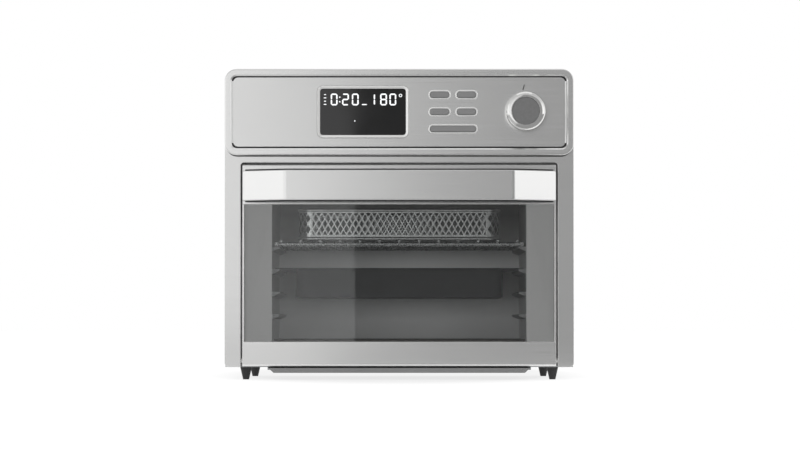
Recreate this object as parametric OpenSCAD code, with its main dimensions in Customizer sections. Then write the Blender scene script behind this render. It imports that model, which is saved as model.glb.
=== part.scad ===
// Countertop air fryer oven with a control head and a drop-down glass door.
// Millimetres. X runs to the right, Y to the back and Z up. The feet stand on Z = 0,
// and the middle of the overall depth is at Y = 0.

/* [Casing] */
// Overall width
casing_w = 400; // [385:1:440]
// Height of the casing above the feet
casing_h = 341.6; // [330:0.2:380]
// Depth from the door's front face to the back panel
casing_d = 330; // [315:1:380]
// Thickness of the casing and cavity sheet
sheet_t = 1.2; // [0.8:0.1:1.6]
// Radius of the casing's upper corners and of the head's corners
corner_r = 14; // [8:0.5:20]
// Radius of the face frame's lower corners
lower_r = 5; // [3:0.5:8]
// Width of the face frame's posts
post_w = 18.2; // [14:0.2:24]
// Radius of the door opening's upper corners
opening_r = 4; // [2:0.5:5]
// Height of the strip between the door and the head
strip_h = 8; // [5:0.5:14]
// Air space behind the cavity
back_space = 25; // [20:1:40]

/* [Feet] */
// Height of the feet
foot_h = 14.4; // [14:0.2:24]
// Diameter of a foot at its top
foot_d = 13.6; // [10:0.2:20]
// Diameter of a foot at the floor
foot_tip_d = 7; // [6:0.5:10]
// Distance of a foot's centre from the casing's side
foot_side = 23; // [18:0.5:30]
// Distance of a foot's centre from the base plate's front and back edges
foot_end = 20; // [12:1:40]

/* [Vents] */
// Width of a vent slot
vent_w = 3; // [2:0.5:4]
// Length of a side vent slot
side_vent_l = 36; // [20:1:50]
// Length of a back vent slot
back_vent_l = 30; // [16:1:40]
// Distance between vent slots
vent_pitch = 9; // [6:0.5:12]
// Number of vent slots on each side
side_vents = 14; // [4:1:18]
// Number of vent slots in a row at the back
back_vents = 20; // [4:1:24]
// Distance of the side vents from the back
side_vent_back = 30; // [20:1:60]

/* [Head] */
// Height of the control head
head_h = 99; // [92:1:110]
// How far the head stands forward of the door
head_out = 10; // [8:0.5:16]
// Width of the bezel around the control panel
bezel_w = 8.6; // [7:0.2:12]
// Wall of the bezel
bezel_wall = 2; // [1.6:0.1:3]
// Radius of the bezel's front edge
bezel_edge_r = 3; // [1:0.5:4]
// Width of the bezel's inner slope
bezel_slope_w = 3; // [1:0.5:3.5]
// Depth of the bezel's inner slope
bezel_slope_d = 1.6; // [1:0.1:2]
// Gap between the bezel and the control panel
groove_w = 1.2; // [0.6:0.1:2]
// Thickness of the control panel
panel_t = 1.5; // [1:0.1:2]
// How far the control panel lies behind the bezel's front
panel_recess = 0.7; // [0.2:0.1:1]
// Thickness of the panel carrier
carrier_t = 2.5; // [2:0.1:3]
// Gap between the panel carrier and the control board
board_gap = 8; // [7.6:0.1:10]
// Thickness of the circuit boards
board_t = 1.6; // [1:0.1:2]
// Diameter of the bosses that carry the control board
boss_d = 6; // [4:0.5:8]

// Height of the controls over the middle of the head
control_up = 0.2; // [-2:0.2:2]

/* [Display] */
// Width of the display window
display_w = 98; // [80:1:104]
// Height of the display window
display_h = 53; // [40:1:56]
// Centre of the display, from the middle of the panel
display_x = -41.5; // [-50:0.5:-35]
// Corner radius of the display window
display_r = 3.4; // [2:0.2:5]
// Width of the display's rim
rim_w = 3; // [1:0.1:3.4]
// How far the display's rim stands proud of the window
rim_out = 0.6; // [0.4:0.1:1]
// How far the display window stands proud of the panel
lens_out = 0.6; // [0.2:0.1:1]
// Border of the display window that rests on the carrier
lens_border = 4; // [2:0.5:6]

/* [Buttons] */
// Width of a small button
button_w = 21.4; // [18:0.2:26]
// Height of a button
button_h = 6.6; // [6:0.2:12]
// Corner radius of a button
button_r = 2.8; // [1.6:0.2:3]
// Distance between the button columns
button_pitch_x = 30.8; // [30:0.2:34]
// Distance between the button rows
button_pitch_z = 19.6; // [17:0.2:22]
// Centre of the button block, from the middle of the panel
button_x = 61.7; // [60:0.1:66]
// How far a button stands proud of the panel
button_out = 2; // [1.2:0.1:3]
// Bevel along a button's front edge
button_bevel = 0.8; // [0.4:0.1:1]
// Travel of a button
button_travel = 1; // [0.5:0.1:1.2]
// Lip of a button behind the panel
button_lip = 1.2; // [0.8:0.1:2]
// Diameter of a button's stem
stem_d = 4; // [3:0.5:6]
// Width of the rim around a button
button_rim_w = 2.2; // [0.8:0.1:2.4]
// How far the rim around a button stands proud of the panel
button_rim_out = 0.8; // [0.4:0.1:1]
// Height of a push switch
switch_h = 3; // [2.5:0.1:3.4]

/* [Dial] */
// Distance of the dial's centre from the casing's side
dial_side = 55.6; // [50:0.2:60]
// Diameter of the dial at the panel
dial_d = 47.5; // [46:0.5:52]
// Diameter of the dial at its front
dial_front_d = 45.5; // [40:0.5:46]
// Height of the dial
dial_h = 22; // [16:0.5:24]
// Diameter of the dial's flat cap
dial_cap_d = 31.5; // [28:0.5:33]
// Depth of the recess for the cap
dial_cap_t = 1.6; // [1:0.1:2]
// Wall of the dial
dial_wall = 3; // [2:0.1:4]
// Gap between the dial and the panel
dial_gap = 0.6; // [0.4:0.1:1]
// Diameter of the dial's shaft
shaft_d = 6; // [4:0.5:6]
// Diameter of the encoder's bush
bush_d = 9; // [8.5:0.5:11]
// Width of the encoder
encoder_w = 13; // [12:0.5:16]
// Height of the encoder
encoder_h = 6; // [5:0.1:6.5]

/* [Door] */
// Gap around the door
door_gap = 2; // [1.5:0.1:3]
// Height of the door's lower edge over the base
door_lift = 1.2; // [0.8:0.1:2]
// Thickness of the door
door_t = 16; // [15:0.5:20]
// Gap between the closed door and the oven face
face_gap = 1.5; // [1:0.1:3]
// Height of the top rail
top_rail_h = 45.8; // [42:0.2:50]
// Height of the bottom rail
bottom_rail_h = 27.9; // [24:0.1:32]
// Depth of the bottom rail
bottom_rail_d = 12; // [11.4:0.1:12]
// Radius of the rails' outer edges
rail_r = 2; // [1.8:0.2:4]
// Width of the side trims
trim_w = 2; // [1.6:0.1:5]
// Thickness of the outer glass
glass_t = 4; // [3:0.1:5]
// Thickness of the inner glass
inner_glass_t = 3; // [2:0.1:4]
// Overlap of the outer glass behind the rails
glass_lap = 6; // [4:0.5:8]
// Overlap of the inner glass on its frame
inner_lap = 8; // [5:0.5:10]
// Distance of the inner frame's window inside the cavity's sides
window_in = 1; // [0:0.5:8]
// Height of the hinge axis over the door's lower edge
hinge_up = 7; // [6:0.1:7.5]
// Distance of the hinge axis behind the door's front
hinge_in = 6; // [5.5:0.1:6.2]
// Diameter of the hinge pins
pin_d = 6; // [4:0.5:6]
// Length of a hinge pin inside the door
pin_in = 10; // [8:0.5:14]
// Length of a hinge pin's bearing in its bracket
pin_out = 6; // [4:0.5:8]
// Diameter of the boss around a hinge pin in the door
pin_boss_d = 10; // [9:0.5:11]

/* [Handle] */
// Height of the handle strip's lower edge over the top rail's
handle_rise = 3.8; // [3.4:0.2:6]
// Thickness of the handle strip
handle_t = 2; // [1.6:0.1:3]
// Gap between the handle and the door
handle_out = 30; // [24:0.5:32]
// Distance of the handle below the door's top edge
handle_drop = 7.6; // [6:0.2:9]
// Length of the handle's foot on the door
handle_foot = 12; // [10:0.5:16]
// Slope of the handle's ends
handle_slope = 29; // [27:1:50]
// Radius of the handle's bends
handle_r = 7; // [4:0.5:10]
// Radius of the hem between a foot and its slope, to the middle of the strip
handle_hem = 2; // [1.8:0.1:2.5]
// Thickness of the grip liner behind the handle
liner_t = 1.6; // [1.2:0.1:2.4]
// Width of the liner that shows above and below the handle
liner_out = 1.5; // [0.5:0.1:2]
// Distance of a handle's screw from the strip's edge
handle_screw_end = 7.5; // [6.5:0.5:10]
// Diameter of the handle's screws
screw_d = 4; // [3:0.5:4]

/* [Cavity] */
// Space between the casing's side and the cavity
side_space = 53; // [50:1:58]
// Height between the cavity's roof and the door opening's top
roof_drop = 10; // [6:1:16]
// Width of a ledge
ledge_w = 9; // [7:0.5:11]
// Thickness of a ledge at its edge
ledge_t = 2.2; // [1.6:0.1:4]
// Height of a ledge at the wall
ledge_root = 6; // [4:0.5:8]
// Height of the lowest ledge over the base
ledge_first = 59.6; // [54:0.2:62]
// Distance between ledges
ledge_pitch = 26; // [24:0.5:28]
// Number of ledges
ledges = 4; // [4:1:4]
// Distance of the ledges from the cavity's front and back
ledge_end = 8; // [4:1:14]

/* [Wire rack and basket] */
// Diameter of the rack's frame wire
rack_wire_d = 5; // [4:0.2:6]
// Diameter of the rack's bars
rack_bar_d = 3; // [2:0.2:4]
// Number of bars in the rack
rack_bars = 13; // [7:1:17]
// Distance of the rack's frame wire from the cavity wall
rack_side = 5.5; // [5:0.1:6]
// Distance of the rack from the cavity's front
rack_front = 8; // [6:0.5:12]
// Distance of the rack from the cavity's back
rack_back = 8; // [4:0.5:14]
// Depth of the weld where wires cross
weld = 0.4; // [0.2:0.1:0.6]
// Distance of the basket from the cavity's sides
basket_side = 29; // [24:1:44]
// Distance of the basket from the rack's front and back
basket_end = 21; // [16:1:40]
// Radius of the basket's corners
basket_corner = 16; // [10:1:24]
// Height of the basket's mesh wall
basket_h = 28; // [20:1:30]
// Diameter of the basket's wire
basket_wire_d = 3.6; // [3:0.2:5]
// Thickness of the mesh
mesh_t = 1; // [0.8:0.1:1.4]
// Width of a mesh diamond in the walls
mesh_w = 7.25; // [7:0.25:12]
// Height of a mesh diamond in the walls
mesh_h = 12.9; // [11:0.1:16]
// Width of the mesh strands
mesh_strand = 1.4; // [1:0.1:2]
// Width of a mesh diamond in the floor
floor_mesh_w = 18; // [16:0.5:24]
// Height of a mesh diamond in the floor
floor_mesh_h = 30; // [26:0.5:36]

/* [Baking tray] */
// Distance of the tray's well from the cavity's sides
pan_inset = 27; // [24:1:44]
// Distance of the tray's well from the rack's front and back
pan_end = 14; // [13:1:34]
// Height of the tray
pan_h = 34; // [20:1:38]
// Corner radius of the well
pan_r = 10; // [6:1:12]
// Thickness of the tray
pan_t = 1; // [0.8:0.1:1.4]
// Distance of the tray's rim from the cavity wall
pan_side = 3.5; // [2:0.1:5]
// Width of the rim at the front and back
pan_rim = 9; // [5:0.5:10]

/* [Crumb tray] */
// Distance of the crumb tray's flanges outside the cavity's sides
crumb_out = 3; // [1:0.5:5]
// Width of a flange
crumb_flange = 6; // [5:0.2:8]
// Height of the crumb tray
crumb_h = 5.6; // [5:0.1:6.4]
// Slope of the crumb tray's side walls, as width
crumb_slope = 6; // [3:0.5:9]
// Thickness of the crumb tray
crumb_t = 0.8; // [0.6:0.1:0.9]
// Gap between the crumb tray and the base
crumb_drop = 0.9; // [0.8:0.1:1.2]
// Distance of the crumb tray's front behind the door's front
crumb_front = 2; // [1:0.5:5]
// Distance between the crumb tray and the cavity's back
crumb_back = 12; // [8:1:20]
// Border of the base plate around the crumb opening
crumb_border = 14; // [10:1:24]
// Thickness of a runner
runner_t = 1.2; // [1:0.1:1.4]
// Width of a runner's lip under the flange
runner_lip = 4; // [3:0.2:4.6]

/* [Fan] */
// Radius of the convection fan
fan_r = 72; // [60:1:76]
// Number of fan blades
fan_blades = 12; // [6:1:16]
// Height of a fan blade
blade_h = 15; // [10:1:17]
// Thickness of the fan's sheet
blade_t = 1.2; // [0.8:0.1:1.6]
// Inner end of a fan blade
blade_r0 = 22; // [16:1:30]
// Radius of the fan's hub
fan_hub_r = 9; // [7:0.5:12]
// Height of the fan housing
drum_h = 26; // [25:1:32]
// Gap between the fan and its housing
drum_gap = 5; // [3:0.5:8]
// Width of the housing's flange
drum_flange = 10; // [6:0.5:12]
// Diameter of the motor shaft
motor_shaft_d = 6; // [5:0.5:8]
// Radius of the motor
motor_r = 27; // [22:1:32]
// Height of the motor
motor_h = 34; // [26:1:36]
// Height of the motor bracket's legs
bracket_h = 14; // [10:0.5:18]
// Thickness of the motor bracket
bracket_t = 2; // [1.5:0.1:3]
// Diameter of the bracket's legs
bracket_leg_d = 6; // [5:0.5:8]
// Radius of the cooling fan
cooling_r = 34; // [26:1:38]
// Number of cooling fan blades
cooling_blades = 5; // [3:1:7]
// Height of the cooling fan's hub
cooling_h = 10; // [8:0.5:12]
// Width of the rim by which the guard overlaps the roof
guard_lap = 10; // [6:0.5:12]
// Number of slots around the guard
guard_slots = 24; // [12:2:28]
// Width of a guard slot
guard_slot_w = 5; // [3:0.5:6]

/* [Heaters] */
// Diameter of the heaters
heater_d = 6.6; // [6:0.2:8]
// Gap between the ring heater's terminals and the fan housing
ring_out = 1.5; // [1:0.5:4]
// Distance of the ring heater below the roof
ring_drop = 14; // [10:0.5:18]
// Open angle of the ring heater
ring_open = 30; // [24:1:40]
// Height of the rod heaters over the base
rod_up = 27.6; // [20:0.2:30]
// Distance of the rod heaters from the cavity's front and back
rod_end = 75; // [50:1:100]
// Size of a heater's ceramic terminal
terminal_w = 14; // [12:0.5:16]
// Length of a heater's ceramic terminal
terminal_l = 14; // [10:0.5:16]

/* [Electrics] */
// Diameter of the mains lead's gland
gland_d = 16; // [13:0.5:20]
// Diameter of the hole for the mains lead
lead_d = 7.6; // [6:0.2:9]
// How far the gland stands behind the back panel
gland_out = 5; // [3:0.5:8]
// Height of the gland over the base
gland_up = 61.6; // [56:0.2:90]
// Distance of the gland from the casing's side
gland_side = 24; // [17:0.5:26]
// Diameter of the temperature sensor
sensor_d = 5; // [4:0.5:6]
// Length of the sensor inside the cavity
sensor_l = 26; // [20:1:34]
// Distance of the sensor below the roof
sensor_drop = 24; // [20:1:40]
// Length of the power board
power_l = 110; // [80:1:130]

/* [Clearances] */
// Gap between pieces that slide past each other
slide_gap = 0.3; // [0.25:0.05:0.4]
// Radial clearance of a running shaft
run_gap = 0.05; // [0.03:0.01:0.08]
// Gap between fixed pieces that seat on each other
seat_gap = 0.15; // [0.1:0.05:0.2]
// Radial clearance of a fixed pin
pin_gap = 0.02; // [0.01:0.01:0.03]
// Radial clearance where a shaft or heater passes a sheet
pass_gap = 1; // [0.6:0.1:1.5]

/* [Hidden] */
$fn = 48;
over = 1;
half_w = casing_w / 2;
base_z = foot_h;
base_top = base_z + sheet_t;
top_z = base_z + casing_h;
head_z = top_z - head_h;
head_mid = (head_z + top_z) / 2;
control_z = head_mid + control_up;
strip_z = head_z - strip_h;
roof_z = strip_z - roof_drop;
roof_top = roof_z + sheet_t;
cavity_half = half_w - side_space;
opening_half = half_w - post_w;

// Depths, from the door's front face
dial_reach = head_out - panel_recess + dial_gap + dial_h;
handle_reach = handle_out + handle_t;
front_reach = max(dial_reach, handle_reach);
y_face = (front_reach - casing_d - gland_out) / 2;
y_oven = y_face + door_t + face_gap;
y_cavity = y_oven + sheet_t;
y_back = y_face + casing_d;
y_wall = y_back - 2 * sheet_t - back_space;
y_fan = (y_cavity + y_wall) / 2;

// Head, front to back
dial_x = half_w - dial_side;
y_bezel = y_face - head_out;
y_panel = y_bezel + panel_recess;
y_carrier = y_panel + panel_t;
y_boss = y_carrier + carrier_t;
y_board = y_boss + board_gap;
panel_w = casing_w - 2 * bezel_w - 2 * groove_w;
panel_h = head_h - 2 * bezel_w - 2 * groove_w;
board_x0 = display_x - display_w / 2 - boss_d;
board_x1 = dial_x + encoder_w + boss_d;
board_half_h = display_h / 2 + 2 / 3 * boss_d;
boss_mid = (display_x + display_w / 2 + button_x - button_pitch_x / 2 - button_w / 2) / 2;
boss_spots = [for (x = [board_x0 + boss_d, boss_mid, board_x1 - boss_d])
    for (s = [-1, 1]) [x, control_z + s * (board_half_h - boss_d / 2)]];

// Buttons: column, row and width of each
button_wide = button_pitch_x + button_w;
button_column = button_pitch_x / 2;

// Door
door_half = opening_half - door_gap;
door_top = strip_z - door_gap;
door_bot = base_z + door_lift;
rail_low = door_top - top_rail_h;
rail_high = door_bot + bottom_rail_h;
hinge_y = y_face + hinge_in;
hinge_z = door_bot + hinge_up;
y_glass = y_face + sheet_t;
y_inner = y_glass + glass_t;
y_door_back = y_face + door_t - sheet_t / 2;
inner_half = door_half - sheet_t - slide_gap;
inner_low = hinge_z + hinge_up;
inner_top = door_top - sheet_t - slide_gap;
window_half = cavity_half - window_in;
window_low = rail_high - glass_lap / 2;
window_high = rail_low + glass_lap / 2;
pin_reach = door_gap + sheet_t + pin_out;
bracket_w = pin_d + 8;

// Handle, as a bent strip seen from above
bend_steps = 12;
handle_top = door_top - handle_drop;
handle_low = rail_low + handle_rise;
handle_h = handle_top - handle_low;
hem_x = door_half - handle_hem - handle_t / 2;
hem_centre = [-hem_x, -handle_hem - handle_t / 2];
slope_back = [sin(handle_slope), cos(handle_slope)];
slope_on = [cos(handle_slope), -sin(handle_slope)];
slope_l = (handle_out - handle_hem - handle_r) / sin(handle_slope)
    + (handle_r - handle_hem) / tan(handle_slope);
bend_centre = hem_centre + slope_l * slope_on + (handle_r - handle_hem) * slope_back;
screw_head_r = screw_d * 0.8;
handle_screw_x = hem_x - handle_foot / 2;

// Rack, basket and tray
ledge_tops = [for (i = [0 : ledges - 1]) base_top + ledge_first + i * ledge_pitch];
rack_half = cavity_half - rack_side;
rack_r = rack_wire_d / 2;
cross_r = rack_r - seat_gap;
rack_z = ledge_tops[ledges - 1] + slide_gap + rack_r;
rack_y0 = y_cavity + rack_front;
rack_y1 = y_wall - rack_back;
bar_r = rack_bar_d / 2;
bar_z = rack_z + cross_r + bar_r - weld;
basket_r = basket_wire_d / 2;
basket_w = 2 * (cavity_half - basket_side);
basket_d = rack_y1 - rack_y0 - 2 * basket_end;
basket_y0 = rack_y0 + basket_end;
basket_z = bar_z + bar_r + seat_gap + basket_r;
mesh_z = basket_z + basket_r + seat_gap;
basket_rim_z = mesh_z + mesh_t + basket_h + 2 * seat_gap + basket_r;
pan_half = cavity_half - pan_side;
pan_w = 2 * (cavity_half - pan_inset);
pan_d = rack_y1 - rack_y0 - 2 * pan_end;
pan_top = ledge_tops[ledges - 2] + slide_gap + pan_t;
pan_y = (rack_y0 + rack_y1) / 2;

// Crumb tray
crumb_half = cavity_half + crumb_out;
crumb_top = base_z - crumb_drop;
crumb_low = crumb_top - crumb_h;
crumb_wall = crumb_half - crumb_flange;
crumb_y0 = y_face + crumb_front;
crumb_y1 = y_wall - crumb_back;
crumb_hole = crumb_wall - crumb_slope;
runner_top = crumb_top - crumb_t - slide_gap;

// Fan
drum_r = fan_r + drum_gap;
drum_flange_r = drum_r + sheet_t + drum_flange;
drum_top = roof_top + drum_h;
blade_z = roof_top + (drum_h - sheet_t - blade_h) / 2;
motor_z = drum_top + bracket_h + bracket_t;
motor_shaft_r = motor_shaft_d / 2;
cooling_z = motor_z + motor_h + drum_gap;
guard_r = drum_r + guard_lap;
bracket_half = motor_r + bracket_leg_d;

// Heaters
heater_r = heater_d / 2;
ring_r = drum_flange_r + ring_out + terminal_w / 2;
ring_z = roof_z - ring_drop;
rod_z = base_top + rod_up;
rod_ys = [y_cavity + rod_end, y_wall - rod_end];
power_x1 = -drum_flange_r - boss_d;
power_x0 = -cavity_half + boss_d / 2;
gland_x = -half_w + gland_side;
gland_z = base_top + gland_up;
sensor_x = drum_flange_r + boss_d;
sensor_z = roof_z - sensor_drop;
screw_spots = [for (side = [-1, 1])
    for (z = [base_top + corner_r, (base_top + top_z) / 2, top_z - sheet_t - corner_r])
    [side * (half_w - sheet_t - corner_r), z]];

// Shared shapes

// A flat outline in X and Z, made solid from y0 to y1
module plate_y(y0, y1) {
    translate([0, y1, 0]) rotate([90, 0, 0]) linear_extrude(y1 - y0) children();
}

// A length l around a middle m
function span(m, l) = [m - l / 2, m + l / 2];

module block(x, y, z) {
    translate([x[0], y[0], z[0]]) cube([x[1] - x[0], y[1] - y[0], z[1] - z[0]]);
}

module rod_x(x, y, z, r) {
    translate([x[0], y, z]) rotate([0, 90, 0]) cylinder(r = r, h = x[1] - x[0]);
}

module rod_y(x, y, z, r) {
    translate([x, y[0], z]) rotate([-90, 0, 0]) cylinder(r = r, h = y[1] - y[0]);
}

module both_sides() {
    for (side = [0, 1]) mirror([side, 0, 0]) children();
}

module rounded(w, h, r) {
    square([w - 2 * r, h], center = true);
    square([w, h - 2 * r], center = true);
    for (sx = [-1, 1], sz = [-1, 1])
        translate([sx * (w / 2 - r), sz * (h / 2 - r)]) circle(r);
}

// The casing's section: round upper corners, and lower ones of radius r_low
module casing_section(inset, z0, r_low) {
    half = half_w - inset;
    r_top = corner_r - inset;
    translate([-half, z0 + r_low]) square([2 * half, top_z - inset - r_top - z0 - r_low]);
    translate([-half + r_top, z0 + r_low]) square([2 * (half - r_top), top_z - inset - z0 - r_low]);
    for (s = [-1, 1]) translate([s * (half - r_top), top_z - inset - r_top]) circle(r_top);
    if (r_low > 0) {
        translate([-half + r_low, z0]) square([2 * (half - r_low), r_low + over]);
        for (s = [-1, 1]) translate([s * (half - r_low), z0 + r_low]) circle(r_low);
    }
}

// Casing

module outer_wrap() {
    color("silver") difference() {
        plate_y(y_cavity, y_back) casing_section(0, base_z, 0);
        plate_y(y_cavity - over, y_back + over) casing_section(sheet_t, base_z - over, 0);
        for (i = [0 : side_vents - 1])
            block([-half_w - over, half_w + over],
                span(y_back - side_vent_back - i * vent_pitch, vent_w), span(head_mid, side_vent_l));
    }
}

module front_frame() {
    color("silver") difference() {
        union() {
            difference() {
                plate_y(y_face, y_cavity) casing_section(0, base_z, lower_r);
                plate_y(y_face + sheet_t, y_cavity + over)
                    casing_section(sheet_t, base_top, lower_r - sheet_t);
            }
            for (s = [-1, 1])
                block(span(s * (opening_half + sheet_t / 2), sheet_t), [y_face, y_oven],
                    [base_z, strip_z + sheet_t]);
            block([-opening_half, opening_half], [y_face, y_oven], [strip_z, strip_z + sheet_t]);
        }
        plate_y(y_face - over, y_cavity + over) {
            translate([-opening_half, base_z - over])
                square([2 * opening_half, strip_z - base_z + over - opening_r]);
            translate([-opening_half + opening_r, base_z])
                square([2 * (opening_half - opening_r), strip_z - base_z]);
            for (s = [-1, 1]) translate([s * (opening_half - opening_r), strip_z - opening_r])
                circle(opening_r);
        }
        plate_y(y_face - over, y_face + sheet_t + over) translate([0, head_mid])
            square([panel_w, panel_h], center = true);
        for (s = [-1, 1])
            rod_x(span(s * (opening_half + sheet_t / 2), 2 * sheet_t), hinge_y, hinge_z,
                pin_d / 2 + pass_gap);
    }
}

module oven_face() {
    half = half_w - sheet_t - lower_r;
    color("gainsboro") difference() {
        block([-half, half], [y_oven, y_cavity], [base_top, head_z]);
        block([-cavity_half, cavity_half], [y_oven - over, y_cavity + over],
            [base_top - over, roof_z]);
    }
}

module base_plate() {
    half = half_w - sheet_t;
    color("silver") difference() {
        block([-half, half], [y_cavity, y_back - sheet_t], [base_z, base_top]);
        block([-crumb_hole, crumb_hole], [y_cavity + crumb_border, crumb_y1 - crumb_border],
            [base_z - over, base_top + over]);
    }
}

module back_panel() {
    color("silver") difference() {
        plate_y(y_back - sheet_t, y_back) casing_section(sheet_t, base_z, 0);
        for (i = [0 : back_vents - 1], row = [0, 1])
            block(span((i - (back_vents - 1) / 2) * vent_pitch, vent_w),
                [y_back - sheet_t - over, y_back + over],
                span(head_mid + (row - 1 / 2) * (back_vent_l + vent_pitch), back_vent_l));
        rod_y(gland_x, [y_back - sheet_t - over, y_back + over], gland_z, gland_d / 2 + seat_gap);
        for (p = screw_spots)
            rod_y(p[0], [y_back - sheet_t - over, y_back + over], p[1], screw_d / 2 + seat_gap);
    }
}

module back_screws() {
    head_y = y_back + screw_d / 2;
    slot = screw_d / 5;
    slot_y = [head_y - slot, head_y + over];
    color("dimgray") for (p = screw_spots) difference() {
        union() {
            rod_y(p[0], [y_back - screw_d - sheet_t, y_back + over], p[1], screw_d / 2);
            rod_y(p[0], [y_back, head_y], p[1], screw_head_r);
        }
        block(span(p[0], screw_d), slot_y, span(p[1], slot));
        block(span(p[0], slot), slot_y, span(p[1], screw_d));
    }
}

module feet() {
    y0 = y_cavity + foot_end;
    y1 = y_back - sheet_t - foot_end;
    color("black") for (s = [-1, 1], y = [y0, y1])
        translate([s * (half_w - foot_side), y, 0])
            cylinder(r1 = foot_tip_d / 2, r2 = foot_d / 2, h = foot_h);
}

module cord_gland() {
    color("black") difference() {
        union() {
            rod_y(gland_x, [y_back - sheet_t - gland_out, y_back + over], gland_z, gland_d / 2);
            rod_y(gland_x, [y_back, y_back + gland_out], gland_z, gland_d / 2 + gland_out / 2);
        }
        rod_y(gland_x, [y_back - sheet_t - gland_out - over, y_back + gland_out + over], gland_z,
            lead_d / 2);
    }
}

// Control head

module bezel_opening(grow) {
    translate([0, head_mid])
        rounded(casing_w - 2 * bezel_w + 2 * grow, head_h - 2 * bezel_w + 2 * grow,
            corner_r / 2 + grow, $fn = 32);
}

module control_bezel() {
    steps = 4;
    color("silver") difference() {
        hull() for (i = [0 : steps]) {
            a = i * 90 / steps;
            inset = bezel_edge_r * (1 - sin(a));
            plate_y(y_bezel + bezel_edge_r * (1 - cos(a)), i == steps ? y_face
                : y_bezel + bezel_edge_r * (1 - cos(a)) + bezel_edge_r / 100)
                translate([0, head_mid])
                    rounded(casing_w - 2 * inset, head_h - 2 * inset, corner_r - inset, $fn = 32);
        }
        plate_y(y_bezel - over, y_face + over) bezel_opening(0);
        hull() {
            plate_y(y_bezel, y_bezel + bezel_slope_d) bezel_opening(0);
            plate_y(y_bezel - over, y_bezel) bezel_opening(bezel_slope_w);
        }
        plate_y(y_carrier, y_face + over) translate([0, head_mid])
            rounded(casing_w - 2 * bezel_wall, head_h - 2 * bezel_wall, corner_r - bezel_wall);
    }
}

// The five button places: column, row and width
module each_button() {
    for (c = [-1, 1], row = [0, 1])
        translate([button_x + c * button_column, control_z + (1 - row) * button_pitch_z])
            children(0);
    translate([button_x, control_z - button_pitch_z]) children(1);
}

module control_panel() {
    hole_w = display_w + 2 * rim_w + 4 * seat_gap;
    hole_h = display_h + 2 * rim_w + 4 * seat_gap;
    color("lightgray") plate_y(y_panel, y_carrier) difference() {
        translate([0, head_mid]) rounded(panel_w, panel_h, corner_r / 2 - groove_w);
        translate([display_x, control_z]) rounded(hole_w, hole_h, display_r + rim_w + 2 * seat_gap);
        each_button() {
            rounded(button_w + 2 * slide_gap, button_h + 2 * slide_gap, button_r + slide_gap);
            rounded(button_wide + 2 * slide_gap, button_h + 2 * slide_gap, button_r + slide_gap);
        }
        translate([dial_x, control_z]) circle(bush_d / 2 + pass_gap);
    }
}

// A frame of width wide around a button of width w
module button_frame(w, wide) {
    gap = slide_gap;
    difference() {
        rounded(w + 2 * gap + 2 * wide, button_h + 2 * gap + 2 * wide, button_r + gap + wide);
        rounded(w + 2 * gap, button_h + 2 * gap, button_r + gap);
    }
}

module button_rims() {
    color("gainsboro") plate_y(y_panel - button_rim_out, y_panel) each_button() {
        button_frame(button_w, button_rim_w);
        button_frame(button_wide, button_rim_w);
    }
}

module panel_carrier() {
    lip = 2 * button_lip + 4 * slide_gap;
    color("#202020") {
        plate_y(y_carrier, y_boss) difference() {
            translate([0, head_mid]) rounded(casing_w - 2 * bezel_wall - 2 * seat_gap,
                head_h - 2 * bezel_wall - 2 * seat_gap, corner_r - bezel_wall - seat_gap);
            translate([display_x, control_z])
                square([display_w - 2 * lens_border, display_h - 2 * lens_border], center = true);
            each_button() {
                square([button_w + lip, button_h + lip], center = true);
                square([button_wide + lip, button_h + lip], center = true);
            }
            translate([dial_x, control_z]) circle(bush_d / 2 + pass_gap);
        }
        for (p = boss_spots) rod_y(p[0], [y_boss - carrier_t / 2, y_board], p[1], boss_d / 2);
    }
}

module display_rim() {
    color("gainsboro") plate_y(y_panel - lens_out - rim_out, y_carrier)
        translate([display_x, control_z]) difference() {
            rounded(display_w + 2 * rim_w + 2 * seat_gap, display_h + 2 * rim_w + 2 * seat_gap,
                display_r + rim_w + seat_gap);
            rounded(display_w + 2 * seat_gap, display_h + 2 * seat_gap, display_r + seat_gap);
        }
}

module display_window() {
    color("#101014") plate_y(y_panel - lens_out, y_carrier)
        translate([display_x, control_z]) rounded(display_w, display_h, display_r);
}

module display_module() {
    border = 2 * lens_border + 2 * seat_gap;
    color("darkslategray") plate_y(y_carrier, y_board)
        translate([display_x, control_z])
            square([display_w - border, display_h - border], center = true);
}

module control_board() {
    color("darkgreen") block([board_x0, board_x1], [y_board, y_board + board_t],
        span(control_z, 2 * board_half_h));
}

module push_switches() {
    color("gray") plate_y(y_board - switch_h, y_board) each_button() {
        square(2 * stem_d - 2 * seat_gap, center = true);
        square(2 * stem_d - 2 * seat_gap, center = true);
    }
}

// A push button: bevelled cap, lip behind the panel and stem to its switch
module push_button(w, column, row) {
    x = button_x + column * button_column;
    z = control_z + (1 - row) * button_pitch_z;
    y_front = y_panel - button_out;
    color("dimgray") {
        hull() {
            plate_y(y_front, y_carrier) translate([x, z])
                rounded(w - 2 * button_bevel, button_h - 2 * button_bevel, button_r - button_bevel);
            plate_y(y_front + button_bevel, y_carrier) translate([x, z])
                rounded(w, button_h, button_r);
        }
        plate_y(y_carrier, y_carrier + button_lip) translate([x, z])
            square([w + 2 * button_lip, button_h + 2 * button_lip], center = true);
        rod_y(x, [y_carrier, y_board - switch_h - button_travel - slide_gap], z, stem_d / 2);
    }
}

module dial_encoder() {
    color("silver") difference() {
        union() {
            plate_y(y_board - encoder_h, y_board) translate([dial_x, control_z])
                square(encoder_w, center = true);
            rod_y(dial_x, [y_carrier, y_board - encoder_h / 2], control_z, bush_d / 2);
        }
        rod_y(dial_x, [y_carrier - over, y_board - over], control_z, shaft_d / 2 + run_gap);
    }
}

module dial_shaft() {
    color("gray") rod_y(dial_x, [y_panel - dial_gap - dial_h / 2, y_board - over - slide_gap],
        control_z, shaft_d / 2);
}

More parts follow.
